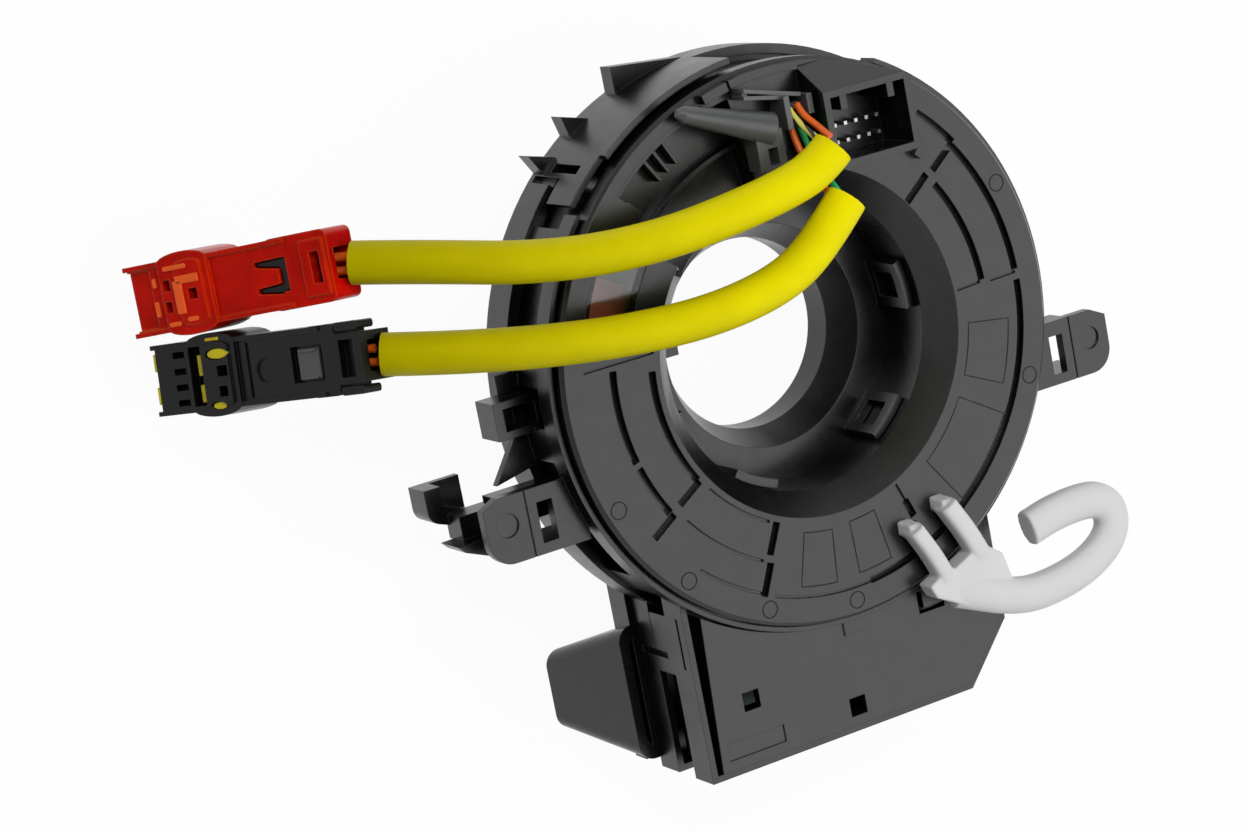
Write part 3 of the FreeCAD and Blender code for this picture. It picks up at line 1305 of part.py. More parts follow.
def red_plug():
    """The red plug has an open hook-shaped recess on its back and two windows at its nose."""
    top = PLUG_T / 2
    shape = plug_housing(LENGTH_1, [(4.6, -3.0, 3.0, 3.0), (10.6, -3.0, 3.0, 3.0), (10.6, 2.4, 5.4, 4.4)])
    hook = block(LOCK_X - 1.6, LOCK_X + LOCK_L + 1.4, -LOCK_W / 2 - 1.5, LOCK_W / 2 + 1.5, top - 1.2, top + 1)
    lip = block(LOCK_X - 1.7, LOCK_X + 1.0, -LOCK_W / 2 - 0.6, LOCK_W / 2 + 0.6, top - 1.3, top)
    return shape.cut([hook.cut(lip), lock_room()])


def black_plug():
    """The black plug has its lock in a square recess, a round boss and windows in two columns."""
    top = PLUG_T / 2
    windows = [(3.6, -3.2, 2.0, 3.4), (3.6, 2.8, 2.0, 3.4), (10.4, -3.4, 2.4, 3.0), (10.4, 0.4, 2.4, 3.0),
               (14.2, 3.6, 2.8, 2.2), (14.2, -4.2, 2.8, 2.0)]
    shape = plug_housing(LENGTH_2, windows)
    boss = disc(1.3, top - 0.5, top + 0.4, 22.2, 0.6)
    return shape.fuse(boss).cut(lock_room())


def lock_room():
    half = LOCK_W / 2 + LOCK_GAP
    top = PLUG_T / 2
    return block(LOCK_X - LOCK_GAP, LOCK_X + LOCK_L + LOCK_GAP, -half, half, top - LOCK_DEPTH, top + 1)


def plug_lock():
    top = PLUG_T / 2
    return block(LOCK_X, LOCK_X + LOCK_L, -LOCK_W / 2, LOCK_W / 2, top - LOCK_DEPTH, top - 0.2)


def plug_retainer(length):
    """The flat terminal retainer inside the nose, seen through the windows above it."""
    top = PLUG_T / 2
    return block(length - RETAINER_L - 1.0, length - 1.0, -RETAINER_W / 2, RETAINER_W / 2,
                 top - RETAINER_DEPTH - RETAINER_T, top - RETAINER_DEPTH)


LENGTH_1 = plug_length(PLUG_1_START, PLUG_1_END)
LENGTH_2 = plug_length(PLUG_2_START, PLUG_2_END)
AXIS_1 = plug_axis(PLUG_1_START, PLUG_1_END)
AXIS_2 = plug_axis(PLUG_2_START, PLUG_2_END)

NODES = {
    "stator_case": stator_case(),
    "rear_cover": rear_cover(),
    "sensor_cover": sensor_cover(),
    "rear_connector_shell": rear_shell(),
    "rear_terminals": rear_terminals(),
    "sensor_board": sensor_board(),
    "board_chips": board_chips(),
    "rotor_disc": rotor_disc(),
    "rotor_sleeve": rotor_sleeve(),
    "drive_gear": drive_gear(),
    "cancel_cam": cancel_cam(),
    "socket_pins": socket_pins(),
    "window_lens": window_lens(),
    "lead_guide": lead_guide(),
    "flat_cable": flat_cable(),
    "roller_carrier": roller_carrier(),
    "neutral_marker": neutral_marker(),
    "magnet_gear_a": magnet_gear(0),
    "magnet_gear_b": magnet_gear(1),
    "magnet_a": magnet(0),
    "magnet_b": magnet(1),
    "lock_clip": lock_clip(),
    "lead_1_sleeve": tube(LEAD_1_ROUTE, SLEEVE_R, "lead 1 sleeve"),
    "lead_2_sleeve": tube(LEAD_2_ROUTE, SLEEVE_R, "lead 2 sleeve"),
    "lead_1_wires": lead_1_wires(),
    "lead_2_wires": lead_2_wires(),
    "lead_1_tail_wires": tail_wires(LEAD_1_ROUTE, PLUG_1_START, PLUG_1_END),
    "lead_2_tail_wires": tail_wires(LEAD_2_ROUTE, PLUG_2_START, PLUG_2_END),
    "red_plug": placed(red_plug(), PLUG_1_START, AXIS_1),
    "red_plug_lock": placed(plug_lock(), PLUG_1_START, AXIS_1),
    "red_plug_retainer": placed(plug_retainer(LENGTH_1), PLUG_1_START, AXIS_1),
    "black_plug": placed(black_plug(), PLUG_2_START, AXIS_2),
    "black_plug_lock": placed(plug_lock(), PLUG_2_START, AXIS_2),
    "black_plug_retainer": placed(plug_retainer(LENGTH_2), PLUG_2_START, AXIS_2),
}
for number in range(ROLLER_COUNT):
    NODES["guide_roller_%d" % (number + 1)] = guide_roller(number)

for name, shape in NODES.items():
    solids = len(shape.Solids)
    print("%-22s solids %2d valid %s volume %9.1f" % (name, solids, shape.isValid(), shape.Volume))
    shape.exportStep("parts/%s.step" % name)
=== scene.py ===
"""Dresses the frame's nodes and shows the plugs, sleeves, wires and lock clip in finer forms."""

import math

import bmesh
import bpy
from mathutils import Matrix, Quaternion, Vector


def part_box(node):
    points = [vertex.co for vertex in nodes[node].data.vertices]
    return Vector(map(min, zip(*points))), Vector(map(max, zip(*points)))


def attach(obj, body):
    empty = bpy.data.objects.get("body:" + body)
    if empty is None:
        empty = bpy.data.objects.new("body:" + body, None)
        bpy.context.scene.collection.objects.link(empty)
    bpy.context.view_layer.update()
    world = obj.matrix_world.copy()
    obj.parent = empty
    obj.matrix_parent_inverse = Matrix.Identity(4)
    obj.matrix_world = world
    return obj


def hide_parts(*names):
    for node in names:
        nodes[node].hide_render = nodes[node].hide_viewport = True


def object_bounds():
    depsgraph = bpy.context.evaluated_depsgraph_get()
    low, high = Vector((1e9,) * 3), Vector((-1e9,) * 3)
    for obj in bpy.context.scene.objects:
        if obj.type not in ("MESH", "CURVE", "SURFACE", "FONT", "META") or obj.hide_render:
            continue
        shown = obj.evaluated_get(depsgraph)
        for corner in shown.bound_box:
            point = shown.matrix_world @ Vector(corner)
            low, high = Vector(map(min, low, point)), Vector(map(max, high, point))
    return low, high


MM = 0.001

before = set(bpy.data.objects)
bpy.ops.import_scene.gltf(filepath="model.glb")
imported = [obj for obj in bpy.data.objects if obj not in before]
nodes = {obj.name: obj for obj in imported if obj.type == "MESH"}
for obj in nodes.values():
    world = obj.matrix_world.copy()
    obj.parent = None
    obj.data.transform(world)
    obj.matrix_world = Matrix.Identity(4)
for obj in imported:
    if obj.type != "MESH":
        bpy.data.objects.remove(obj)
cad_low, cad_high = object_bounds()
scene = bpy.context.scene

# Heights shared with the frame
FACE_Z = 25.9
FLOOR_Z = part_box("rear_connector_shell")[0].z

# The photograph's camera: its place, the point of the face plane it looks at, and its turn about the view
CAMERA_AT = (-306.87, 124.59, 540.61)
CAMERA_AIM = (-39.19, -2.39, 25.9)
CAMERA_ROLL = 101.295
FOCAL_PX = 3500.0
PHOTO_W = 1248.0
SENSOR_W = 36.0


def metres(point):
    return Vector(point) * MM


def make_camera():
    data = bpy.data.cameras.new("camera")
    data.sensor_width = SENSOR_W
    data.lens = SENSOR_W * FOCAL_PX / PHOTO_W
    data.clip_start = 0.01
    data.clip_end = 20.0
    camera = bpy.data.objects.new("camera", data)
    scene.collection.objects.link(camera)
    place = metres(CAMERA_AT)
    look = (metres(CAMERA_AIM) - place).to_track_quat("-Z", "Y")
    camera.rotation_mode = "QUATERNION"
    camera.rotation_quaternion = look @ Quaternion((0, 0, 1), math.radians(CAMERA_ROLL))
    camera.location = place
    scene.camera = camera


# Node helpers for the materials

NOISE_LOW = 0.3
NOISE_HIGH = 0.7
EDGE_SAMPLES = 4
# Cosines between the flat and the rounded normal, on a face and on an edge
FACE_COSINE = 0.999
EDGE_COSINE = 0.86


class Graph:
    """A material's node tree with short calls for the nodes that these finishes use."""

    def __init__(self, name):
        self.material = bpy.data.materials.new(name)
        self.material.use_nodes = True
        self.tree = self.material.node_tree
        self.tree.nodes.clear()
        self.out = self.add("ShaderNodeOutputMaterial")
        self.coords = self.add("ShaderNodeTexCoord").outputs["Object"]

    def add(self, kind, **settings):
        node = self.tree.nodes.new(kind)
        for key, value in settings.items():
            setattr(node, key, value)
        return node

    def link(self, source, target):
        self.tree.links.new(source, target)

    def noise(self, scale, detail=3.0, roughness=0.55):
        node = self.add("ShaderNodeTexNoise")
        node.inputs["Scale"].default_value = scale
        node.inputs["Detail"].default_value = detail
        node.inputs["Roughness"].default_value = roughness
        self.link(self.coords, node.inputs["Vector"])
        return node.outputs["Fac"]

    def ramp(self, value, low, high, out_low, out_high):
        node = self.add("ShaderNodeMapRange")
        ends = {"From Min": low, "From Max": high, "To Min": out_low, "To Max": out_high}
        for key, number in ends.items():
            node.inputs[key].default_value = number
        self.link(value, node.inputs["Value"])
        return node.outputs["Result"]

    def spread(self, noise, low, high):
        """Noise, which mostly lies between NOISE_LOW and NOISE_HIGH, spread between two values."""
        return self.ramp(noise, NOISE_LOW, NOISE_HIGH, low, high)

    def blend(self, share, first, second):
        node = self.add("ShaderNodeMix", data_type="RGBA")
        for value, socket in ((first, node.inputs[6]), (second, node.inputs[7])):
            if isinstance(value, tuple):
                socket.default_value = (*value, 1.0)
            else:
                self.link(value, socket)
        self.link(share, node.inputs[0])
        return node.outputs[2]

    def times(self, value, factor):
        node = self.add("ShaderNodeMath", operation="MULTIPLY")
        self.link(value, node.inputs[0])
        node.inputs[1].default_value = factor
        return node.outputs[0]

    def edge(self, radius):
        """Rounded normal, and a mask that is 1 on edges and 0 on faces."""
        bevel = self.add("ShaderNodeBevel", samples=EDGE_SAMPLES)
        bevel.inputs["Radius"].default_value = radius
        flat = self.add("ShaderNodeNewGeometry").outputs["Normal"]
        dot = self.add("ShaderNodeVectorMath", operation="DOT_PRODUCT")
        self.link(bevel.outputs["Normal"], dot.inputs[0])
        self.link(flat, dot.inputs[1])
        mask = self.ramp(dot.outputs["Value"], FACE_COSINE, EDGE_COSINE, 0.0, 1.0)
        return bevel.outputs["Normal"], mask

    def bump(self, height, strength, distance, normal=None):
        node = self.add("ShaderNodeBump")
        node.inputs["Strength"].default_value = strength
        node.inputs["Distance"].default_value = distance
        self.link(height, node.inputs["Height"])
        if normal is not None:
            self.link(normal, node.inputs["Normal"])
        return node.outputs["Normal"]

    def shader(self, **sockets):
        node = self.add("ShaderNodeBsdfPrincipled")
        for name, value in sockets.items():
            socket = node.inputs[name.replace("_", " ")]
            if isinstance(value, bpy.types.NodeSocket):
                self.link(value, socket)
            elif isinstance(value, tuple):
                socket.default_value = (*value, 1.0)
            else:
                socket.default_value = value
        self.link(node.outputs["BSDF"], self.out.inputs["Surface"])


def scaled(color, factor):
    return tuple(min(1.0, c * factor) for c in color)


# Finishes: the scales of their textures are in waves per metre

FLOW_SCALE = 90.0
GLOSS_SCALE = 240.0
GRAIN_SCALE = 5200.0
GRAIN_DEPTH = 0.02
GRAIN_STRENGTH = 0.10
EDGE_R = 0.22
# Painted highlight on rounded edges: how far edges blend toward a paler grey, and that grey
EDGE_HIGHLIGHT_SHARE = 0.35
EDGE_HIGHLIGHT_GREY = (0.09, 0.09, 0.09)


def moulded(name, color, rough, mottle=0.12, edge_highlight=EDGE_HIGHLIGHT_GREY, specular=0.5):
    """Moulded plastic: faint flow mottling, uneven gloss, fine grain, and a painted highlight that makes
    rounded edges paler.
    """
    g = Graph(name)
    normal, on_edge = g.edge(EDGE_R * MM)
    flow = g.spread(g.noise(FLOW_SCALE, 4.0, 0.6), 0.0, 1.0)
    shade = g.blend(flow, scaled(color, 1 - mottle), scaled(color, 1 + mottle))
    # Painted highlight: rounded edges blend toward a paler colour
    shade = g.blend(g.times(on_edge, EDGE_HIGHLIGHT_SHARE), shade, edge_highlight)
    gloss = g.spread(g.noise(GLOSS_SCALE, 3.0), rough - 0.03, rough + 0.04)
    fine = g.bump(g.noise(GRAIN_SCALE, 2.0), GRAIN_STRENGTH, GRAIN_DEPTH * MM, normal)
    g.shader(Base_Color=shade, Roughness=gloss, Normal=fine, Specular_IOR_Level=specular)
    return g.material


# Painted shade on the sleeves: a darker pair of tones toward the plugs, then the plain pair
SLEEVE_SHADED = ((0.43, 0.375, 0.0003), (0.48, 0.42, 0.0004))
SLEEVE_PALE = ((0.84, 0.74, 0.0008), (0.92, 0.81, 0.001))
SLEEVE_TINT = (1.0, 0.9, 0.05)
# The place in metres from which a sleeve has its full painted shade
SHADED_X = -0.07


def sleeve_finish():
    """Soft yellow tube with uneven tone, and painted shade that darkens it toward the plugs."""
    g = Graph("sleeve_yellow")
    broad = g.spread(g.noise(120.0, 3.0), 0.0, 1.0)
    place = g.add("ShaderNodeSeparateXYZ")
    g.link(g.coords, place.inputs[0])
    unshaded_share = g.ramp(place.outputs["X"], SHADED_X, 0.0, 0.0, 1.0)
    # Painted shade: the tube darkens toward the plugs
    shade = g.blend(unshaded_share, g.blend(broad, *SLEEVE_SHADED), g.blend(broad, *SLEEVE_PALE))
    fine = g.bump(g.noise(2600.0, 3.0), 0.18, 0.03 * MM)
    gloss = g.spread(g.noise(300.0), 0.46, 0.6)
    g.shader(Base_Color=shade, Roughness=gloss, Normal=fine, Specular_IOR_Level=0.25,
             Specular_Tint=SLEEVE_TINT)
    return g.material


def wire_finish(name, color, stripe=None):
    """Glossy insulation, with a stripe that winds slowly round it where one is given."""
    g = Graph(name)
    shade = g.blend(g.noise(700.0), scaled(color, 0.88), scaled(color, 1.1))
    if stripe:
        wave = g.add("ShaderNodeTexWave", bands_direction="DIAGONAL")
        wave.inputs["Scale"].default_value = 260.0
        g.link(g.coords, wave.inputs["Vector"])
        shade = g.blend(g.ramp(wave.outputs["Fac"], 0.55, 0.62, 0.0, 1.0), shade, stripe)
    g.shader(Base_Color=shade, Roughness=0.3)
    return g.material


RED_DEEP = (0.40, 0.0008, 0.0006)
RED_BRIGHT = (0.62, 0.003, 0.001)
# Painted glow: the bright orange that the red plug's edges blend toward, and how far
RED_EDGE_GLOW = (0.95, 0.09, 0.006)
RED_EDGE_R = 0.5
RED_GLOW_SHARE = 0.5
RED_TINT = (1.0, 0.22, 0.08)


def red_finish():
    """Tinted red plastic with a painted orange glow on its edges and small features, standing in for light
    through thin plastic.
    """
    g = Graph("plug_red")
    normal, on_edge = g.edge(RED_EDGE_R * MM)
    flow = g.ramp(g.noise(160.0, 4.0), 0.35, 0.75, 0.0, 1.0)
    # Painted glow: edges blend toward bright orange
    shade = g.blend(g.times(on_edge, RED_GLOW_SHARE), g.blend(flow, RED_DEEP, RED_BRIGHT), RED_EDGE_GLOW)
    gloss = g.spread(g.noise(300.0), 0.20, 0.30)
    g.shader(Base_Color=shade, Roughness=gloss, Normal=normal, Specular_IOR_Level=0.3,
             Specular_Tint=RED_TINT)
    return g.material


def lens_finish():
    g = Graph("lens_clear")
    gloss = g.spread(g.noise(900.0), 0.05, 0.14)
    g.shader(Base_Color=(0.86, 0.9, 0.88), Roughness=gloss, IOR=1.49, Transmission_Weight=1.0)
    return g.material


def metal_finish(name, color, rough):
    g = Graph(name)
    grain = g.noise(1800.0, 3.0)
    shade = g.blend(grain, scaled(color, 0.85), scaled(color, 1.1))
    g.shader(Base_Color=shade, Roughness=g.spread(grain, rough - 0.06, rough + 0.08), Metallic=1.0)
    return g.material


DEEP_BLACK = (0.0035, 0.0036, 0.0039)
PALE = (0.55, 0.55, 0.54)

# Each edge colour below is a painted highlight on that moulding's rounded edges
MOULDINGS = {
    "case_black": {"color": DEEP_BLACK, "rough": 0.28},
    "rotor_grey": {"color": DEEP_BLACK, "rough": 0.28},
    "cover_black": {"color": (0.003, 0.0031, 0.0034), "rough": 0.25},
    "clip_white": {"color": (0.66, 0.668, 0.66), "rough": 0.5, "edge_highlight": (0.8, 0.8, 0.8),
                   "mottle": 0.02},
    "guide_grey": {"color": (0.075, 0.078, 0.08), "rough": 0.38, "edge_highlight": (0.3, 0.3, 0.3)},
    "gear_natural": {"color": (0.62, 0.60, 0.52), "rough": 0.45, "edge_highlight": PALE, "mottle": 0.04},
    "plug_black": {"color": (0.004, 0.004, 0.0042), "rough": 0.30, "edge_highlight": (0.07, 0.07, 0.07),
                   "specular": 0.22},
    "mark_dark": {"color": (0.008, 0.008, 0.008), "rough": 0.5, "edge_highlight": (0.02, 0.02, 0.02),
                  "specular": 0.25},
    "lock_grey": {"color": (0.05, 0.05, 0.052), "rough": 0.36, "edge_highlight": (0.2, 0.2, 0.2)},
    "board_green": {"color": (0.02, 0.12, 0.05), "rough": 0.3},
    "marker_red": {"color": (0.50, 0.07, 0.05), "rough": 0.4, "edge_highlight": (0.6, 0.2, 0.15)},
    "retainer_yellow": {"color": (0.66, 0.56, 0.012), "rough": 0.4, "edge_highlight": (0.7, 0.6, 0.1),
                        "specular": 0.2},
    "retainer_orange": {"color": (0.88, 0.11, 0.012), "rough": 0.4, "edge_highlight": (0.95, 0.28, 0.04),
                        "specular": 0.2},
    "cable_film": {"color": (0.55, 0.42, 0.22), "rough": 0.25, "edge_highlight": PALE},
}


def make_materials():
    finishes = {name: moulded(name, **look) for name, look in MOULDINGS.items()}
    finishes["plug_red"] = red_finish()
    finishes["sleeve_yellow"] = sleeve_finish()
    finishes["lens_clear"] = lens_finish()
    finishes["contact_metal"] = metal_finish("contact_metal", (0.42, 0.41, 0.39), 0.34)
    finishes["magnet_grey"] = metal_finish("magnet_grey", (0.28, 0.28, 0.30), 0.4)
    finishes["orange"] = wire_finish("wire_orange", (0.80, 0.13, 0.01))
    finishes["striped"] = wire_finish("wire_striped", (0.75, 0.68, 0.12), (0.02, 0.02, 0.015))
    finishes["green"] = wire_finish("wire_green", (0.01, 0.42, 0.13))
    return finishes


FINISH_OF = {
    "stator_case": "case_black", "rear_cover": "case_black", "sensor_cover": "cover_black",
    "rear_connector_shell": "case_black", "rear_terminals": "contact_metal", "sensor_board": "board_green",
    "board_chips": "plug_black", "flat_cable": "cable_film", "rotor_disc": "rotor_grey",
    "rotor_sleeve": "rotor_grey", "drive_gear": "gear_natural", "cancel_cam": "gear_natural",
    "socket_pins": "contact_metal", "window_lens": "lens_clear", "lead_guide": "guide_grey",
    "red_plug": "plug_red", "red_plug_lock": "plug_black", "red_plug_retainer": "retainer_yellow",
    "black_plug": "plug_black", "black_plug_lock": "lock_grey", "black_plug_retainer": "retainer_yellow",
    "roller_carrier": "gear_natural", "neutral_marker": "marker_red", "magnet_gear_a": "gear_natural",
    "magnet_gear_b": "gear_natural", "magnet_a": "magnet_grey", "magnet_b": "magnet_grey",
    "lock_clip": "clip_white",
}
ROLLERS = 6
for number in range(1, ROLLERS + 1):
    FINISH_OF["guide_roller_%d" % number] = "gear_natural"
for number in (1, 2):
    FINISH_OF["lead_%d_tail_wires" % number] = "orange"


def dress(piece, material):
    piece.data.materials.clear()
    piece.data.materials.append(material)


def dress_nodes(materials):
    for name, finish in FINISH_OF.items():
        dress(nodes[name], materials[finish])


# Leads, with Z measured from the face: route 1 repeats the model's points, and so does route 2 but for its
# last two, which lie up to 1 mm nearer to the rotor

LEAD_1_ROUTE = [
    (4.2, 34.4, 11.4), (0.8, 31.6, 10.9), (-6.0, 29.5, 10.3), (-16.0, 27.9, 9.5), (-29.0, 26.6, 8.8),
    (-43.5, 27.2, 8.2), (-56.5, 29.3, 7.3), (-67.5, 32.1, 4.9), (-75.5, 33.9, 0.9), (-80.9, 34.9, -3.6)]
LEAD_2_ROUTE = [
    (5.7, 25.0, 10.2), (-1.2, 18.4, 10.0), (-9.6, 13.7, 9.4), (-24.0, 11.7, 8.8), (-41.0, 12.7, 8.2),
    (-55.5, 14.8, 7.4), (-67.2, 17.0, 5.9), (-75.4, 18.6, 3.1), (-80.4, 19.5, -0.4)]
SLEEVE_R = 3.65
WIRE_R = 0.6

EXIT_WIRES = {
    "lead_1_wire_orange": (
        "orange", ((3.4, 42.0, 3.4), (3.5, 40.2, 4.4), (4.6, 38.2, 6.4), (5.2, 36.0, 9.4))),
    "lead_1_wire_striped": (
        "striped", ((2.0, 41.4, 2.8), (2.1, 39.2, 4.4), (2.8, 36.9, 7.8), (3.2, 34.2, 11.2))),
    "lead_2_wire_green": (
        "green", ((3.7, 39.6, 2.0), (4.1, 34.6, 3.0), (4.9, 29.0, 6.2), (5.5, 24.6, 10.2))),
    "lead_2_wire_orange": (
        "orange", ((2.0, 39.4, 2.0), (2.2, 34.6, 3.0), (3.1, 29.0, 6.0), (3.8, 24.8, 9.8))),
}


def smooth_curve(name, points, radius, material):
    """A round cord on one NURBS spline, with the points given as its control points."""
    data = bpy.data.curves.new(name, "CURVE")
    data.dimensions = "3D"
    spline = data.splines.new("NURBS")
    spline.points.add(len(points) - 1)
    for target, (x, y, z) in zip(spline.points, points):
        target.co = (x * MM, y * MM, (FACE_Z + z) * MM, 1.0)
    spline.order_u = 3
    spline.use_endpoint_u = True
    spline.resolution_u = 12
    data.bevel_depth = radius * MM
    data.bevel_resolution = 6
    data.use_fill_caps = True
    data.materials.append(material)
    piece = bpy.data.objects.new(name, data)
    scene.collection.objects.link(piece)
    return piece


def make_wires(materials):
    wires = {}
    for name, (finish, points) in EXIT_WIRES.items():
        wires[name] = smooth_curve(name, points, WIRE_R, materials[finish])
        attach(wires[name], "rotor")
    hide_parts("lead_1_wires")
    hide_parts("lead_2_wires")
    return wires


def make_leads(materials):
    """Both leads: the wires out of the rotor, the plugs, and the sleeves as round tubes."""
    wires = make_wires(materials)
    plugs = {1: make_red_plug(materials), 2: make_black_plug(materials)}
    for number, route in ((1, LEAD_1_ROUTE), (2, LEAD_2_ROUTE)):
        sleeve = smooth_curve("lead_%d_tube" % number, route, SLEEVE_R, materials["sleeve_yellow"])
        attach(sleeve, "rotor")
        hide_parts("lead_%d_sleeve" % number)
        along = [piece for name, piece in wires.items() if name.startswith("lead_%d" % number)]
        along.append("lead_%d_tail_wires" % number)
        along.extend(plugs[number])


# Mesh helpers: closed outlines raised to prisms, carved by others, with rounded edges

def prism(mesh, outline, low, high, at):
    """A closed prism over a plan outline; at() turns millimetres in plan into a place in metres."""
    bottom = [mesh.verts.new(at(x, y, low)) for x, y in outline]
    top = [mesh.verts.new(at(x, y, high)) for x, y in outline]
    count = len(outline)
    mesh.faces.new(bottom[::-1])
    mesh.faces.new(top)
    for k in range(count):
        mesh.faces.new((bottom[k], bottom[(k + 1) % count], top[(k + 1) % count], top[k]))


def join_rings(mesh, rings, closed=False):
    """Faces between neighbouring rings of corners, whose two ends are capped or, in a closed line, meet."""
    following = rings[1:] + rings[:1] if closed else rings[1:]
    for first, second in zip(rings, following):
        count = len(first)
        for j in range(count):
            mesh.faces.new((first[j], first[(j + 1) % count], second[(j + 1) % count], second[j]))
    if not closed:
        mesh.faces.new(rings[0][::-1])
        mesh.faces.new(rings[-1])


def block(x0, x1, y0, y1, low, high):
    return [(x0, y0), (x1, y0), (x1, y1), (x0, y1)], low, high


def oval(x, y, half_x, half_y, low, high, steps=16):
    turn = 2 * math.pi / steps
    outline = [(x + half_x * math.cos(k * turn), y + half_y * math.sin(k * turn)) for k in range(steps)]
    return outline, low, high


def object_from(mesh, name):
    """Turns a finished mesh into an object of the scene, its normals outward."""
    bmesh.ops.recalc_face_normals(mesh, faces=mesh.faces)
    data = bpy.data.meshes.new(name)
    mesh.to_mesh(data)
    mesh.free()
    piece = bpy.data.objects.new(name, data)
    scene.collection.objects.link(piece)
    return piece


def raw_object(name, solids, at):
    mesh = bmesh.new()
    for outline, low, high in solids:
        prism(mesh, outline, low, high, at)
    return object_from(mesh, name)


def settle(piece):
    """Applies the piece's modifiers to its mesh."""
    bpy.context.view_layer.update()
    graph = bpy.context.evaluated_depsgraph_get()
    data = bpy.data.meshes.new_from_object(piece.evaluated_get(graph))
    piece.modifiers.clear()
    piece.data = data


ROUND_STEPS = 2
ROUND_ANGLE = 40


def carved(name, solids, cuts, at, edge, material):
    """One moulding: the solids less the cuts, its edges rounded by a radius of edge millimetres."""
    piece = raw_object(name, solids, at)
    if cuts:
        tool = raw_object(name + "_tool", cuts, at)
        cutter = piece.modifiers.new("cut", "BOOLEAN")
        cutter.operation = "DIFFERENCE"
        cutter.solver = "EXACT"
        cutter.use_self = True
        cutter.object = tool
        settle(piece)
        bpy.data.objects.remove(tool)
    rounding = piece.modifiers.new("round", "BEVEL")
    rounding.width = edge * MM
    rounding.segments = ROUND_STEPS
    rounding.limit_method = "ANGLE"
    rounding.angle_limit = math.radians(ROUND_ANGLE)
    settle(piece)
    dress(piece, material)
    return piece


# Airbag plugs, in their own frame: X runs from the wire end to the nose, Z stands on the broad face

PLUG_1_ENDS = ((-82.4, 35.2, -5.4), (-107.2, 31.9, -41.2))
PLUG_2_ENDS = ((-82.8, 19.8, -2.4), (-105.0, 17.9, -41.4))
PLUG_ROLL = 14.0
PLUG_TOP = 4.8
END_LOW = -3.2
SHELL_EDGE = 0.22
SMALL_EDGE = 0.15
# Stations along each plug: the wire end, where the collar starts, where the nose starts, and the tip
RED_STATIONS = (-1.2, 22.0, 31.0, 39.4)
BLACK_STATIONS = (-3.2, 22.4, 31.6, 40.9)
RAIL = 0.8
TAB_Y = (-3.0, 2.9)
SLOT_Y = (-3.9, -1.1, 1.6, 4.2)


def plug_frame(ends):
    """The plug's frame, from its two end points, whose Z is measured from the face."""
    start, end = (Vector((x, y, FACE_Z + z)) for x, y, z in ends)
    along = (end - start).normalized()
    side = Vector((0, 0, 1)).cross(along).normalized()
    side = Quaternion(along, math.radians(PLUG_ROLL)) @ side
    up = along.cross(side)

    def at(x, y, z):
        return (start + along * x + side * y + up * z) * MM
    return at


def bulge(x0, x1, half, swell, steps=10):
    """A plan outline whose two sides swell between x0 and x1."""
    share = [k / steps for k in range(steps + 1)]
    side = [(x0 + (x1 - x0) * t, half + swell * math.sin(math.pi * t) ** 0.6) for t in share]
    return side + [(x, -y) for x, y in reversed(side)]


def rounded(x0, x1, y0, y1, radius, steps=4):
    """A rectangle's plan outline with round corners."""
    outline = []
    for x, y, start in ((x1 - radius, y1 - radius, 0), (x0 + radius, y1 - radius, 90),
                        (x0 + radius, y0 + radius, 180), (x1 - radius, y0 + radius, 270)):
        for k in range(steps + 1):
            turn = math.radians(start + 90.0 * k / steps)
            outline.append((x + radius * math.cos(turn), y + radius * math.sin(turn)))
    return outline


def both_sides(x0, x1, inner, outer, low, high):
    """A block on the low side of the middle line and its twin on the high side."""
    return [block(x0, x1, -outer, -inner, low, high), block(x0, x1, inner, outer, low, high)]


def plug_body(stations):
    """Slim body with side rails, swollen collar and nose, which both plugs share."""
    start, collar, nose, length = stations
    top = PLUG_TOP
    body_x = start + 8.1
    step = block(start + 5.8, start + 8.6, -5.6, 5.6, 0.2 - top, top - 0.5)
    body = block(body_x, collar + 2.0, -5.5, 5.5, -top, top - 0.3)
    rails = both_sides(body_x, collar, 5.0, 5.0 + RAIL, -top, top + 0.3)
    ring = (bulge(collar, nose + 1.0, 5.8, 1.2), -top - 0.4, top + 0.5)
    crown = (bulge(collar + 1.2, nose - 2.4, 4.8, 0.7), top - 1.0, top + 1.0)
    nose_block = block(nose - 1.0, length - 0.6, -5.7, 5.7, 0.5 - top, top - 0.7)
    nose_rails = both_sides(nose - 1.0, length, 5.2, 5.2 + RAIL, 0.5 - top, top - 0.3)
    return [step, body, *rails, ring, crown, nose_block, *nose_rails]


def nose_mouths(length):
    """The two openings in the end of a plug's nose."""
    return [block(length - 4.0, length + 1.0, y - 1.6, y + 1.6, -3.0, 2.6) for y in TAB_Y]


def nose_tabs(length):
    """The two tabs that stand in the openings of a plug's nose."""
    return [block(length - 1.8, length + 0.2, y - 1.4, y + 1.4, -1.8, 2.2) for y in TAB_Y]


def red_hook(gap, low, bar_high, arm_high):
    """A bar with two arms toward the nose, or its slot where there is a gap round it."""
    root = 8.6 - gap
    tip = 2 * gap
    bar = block(7.4 - gap, 8.8 + gap, -2.6 - gap, 2.8 + gap, low, bar_high)
    first = [(root, -2.6 - gap), (13.2 + tip, -2.5 - gap), (13.4 + tip, -1.9 + gap), (root, -1.0 + gap)]
    second = [(root, 1.6 - gap), (13.4 + tip, 1.9 - gap), (13.5 + tip, 2.5 + gap), (root, 3.2 + gap)]
    return [bar, (first, low, arm_high), (second, low, arm_high)]


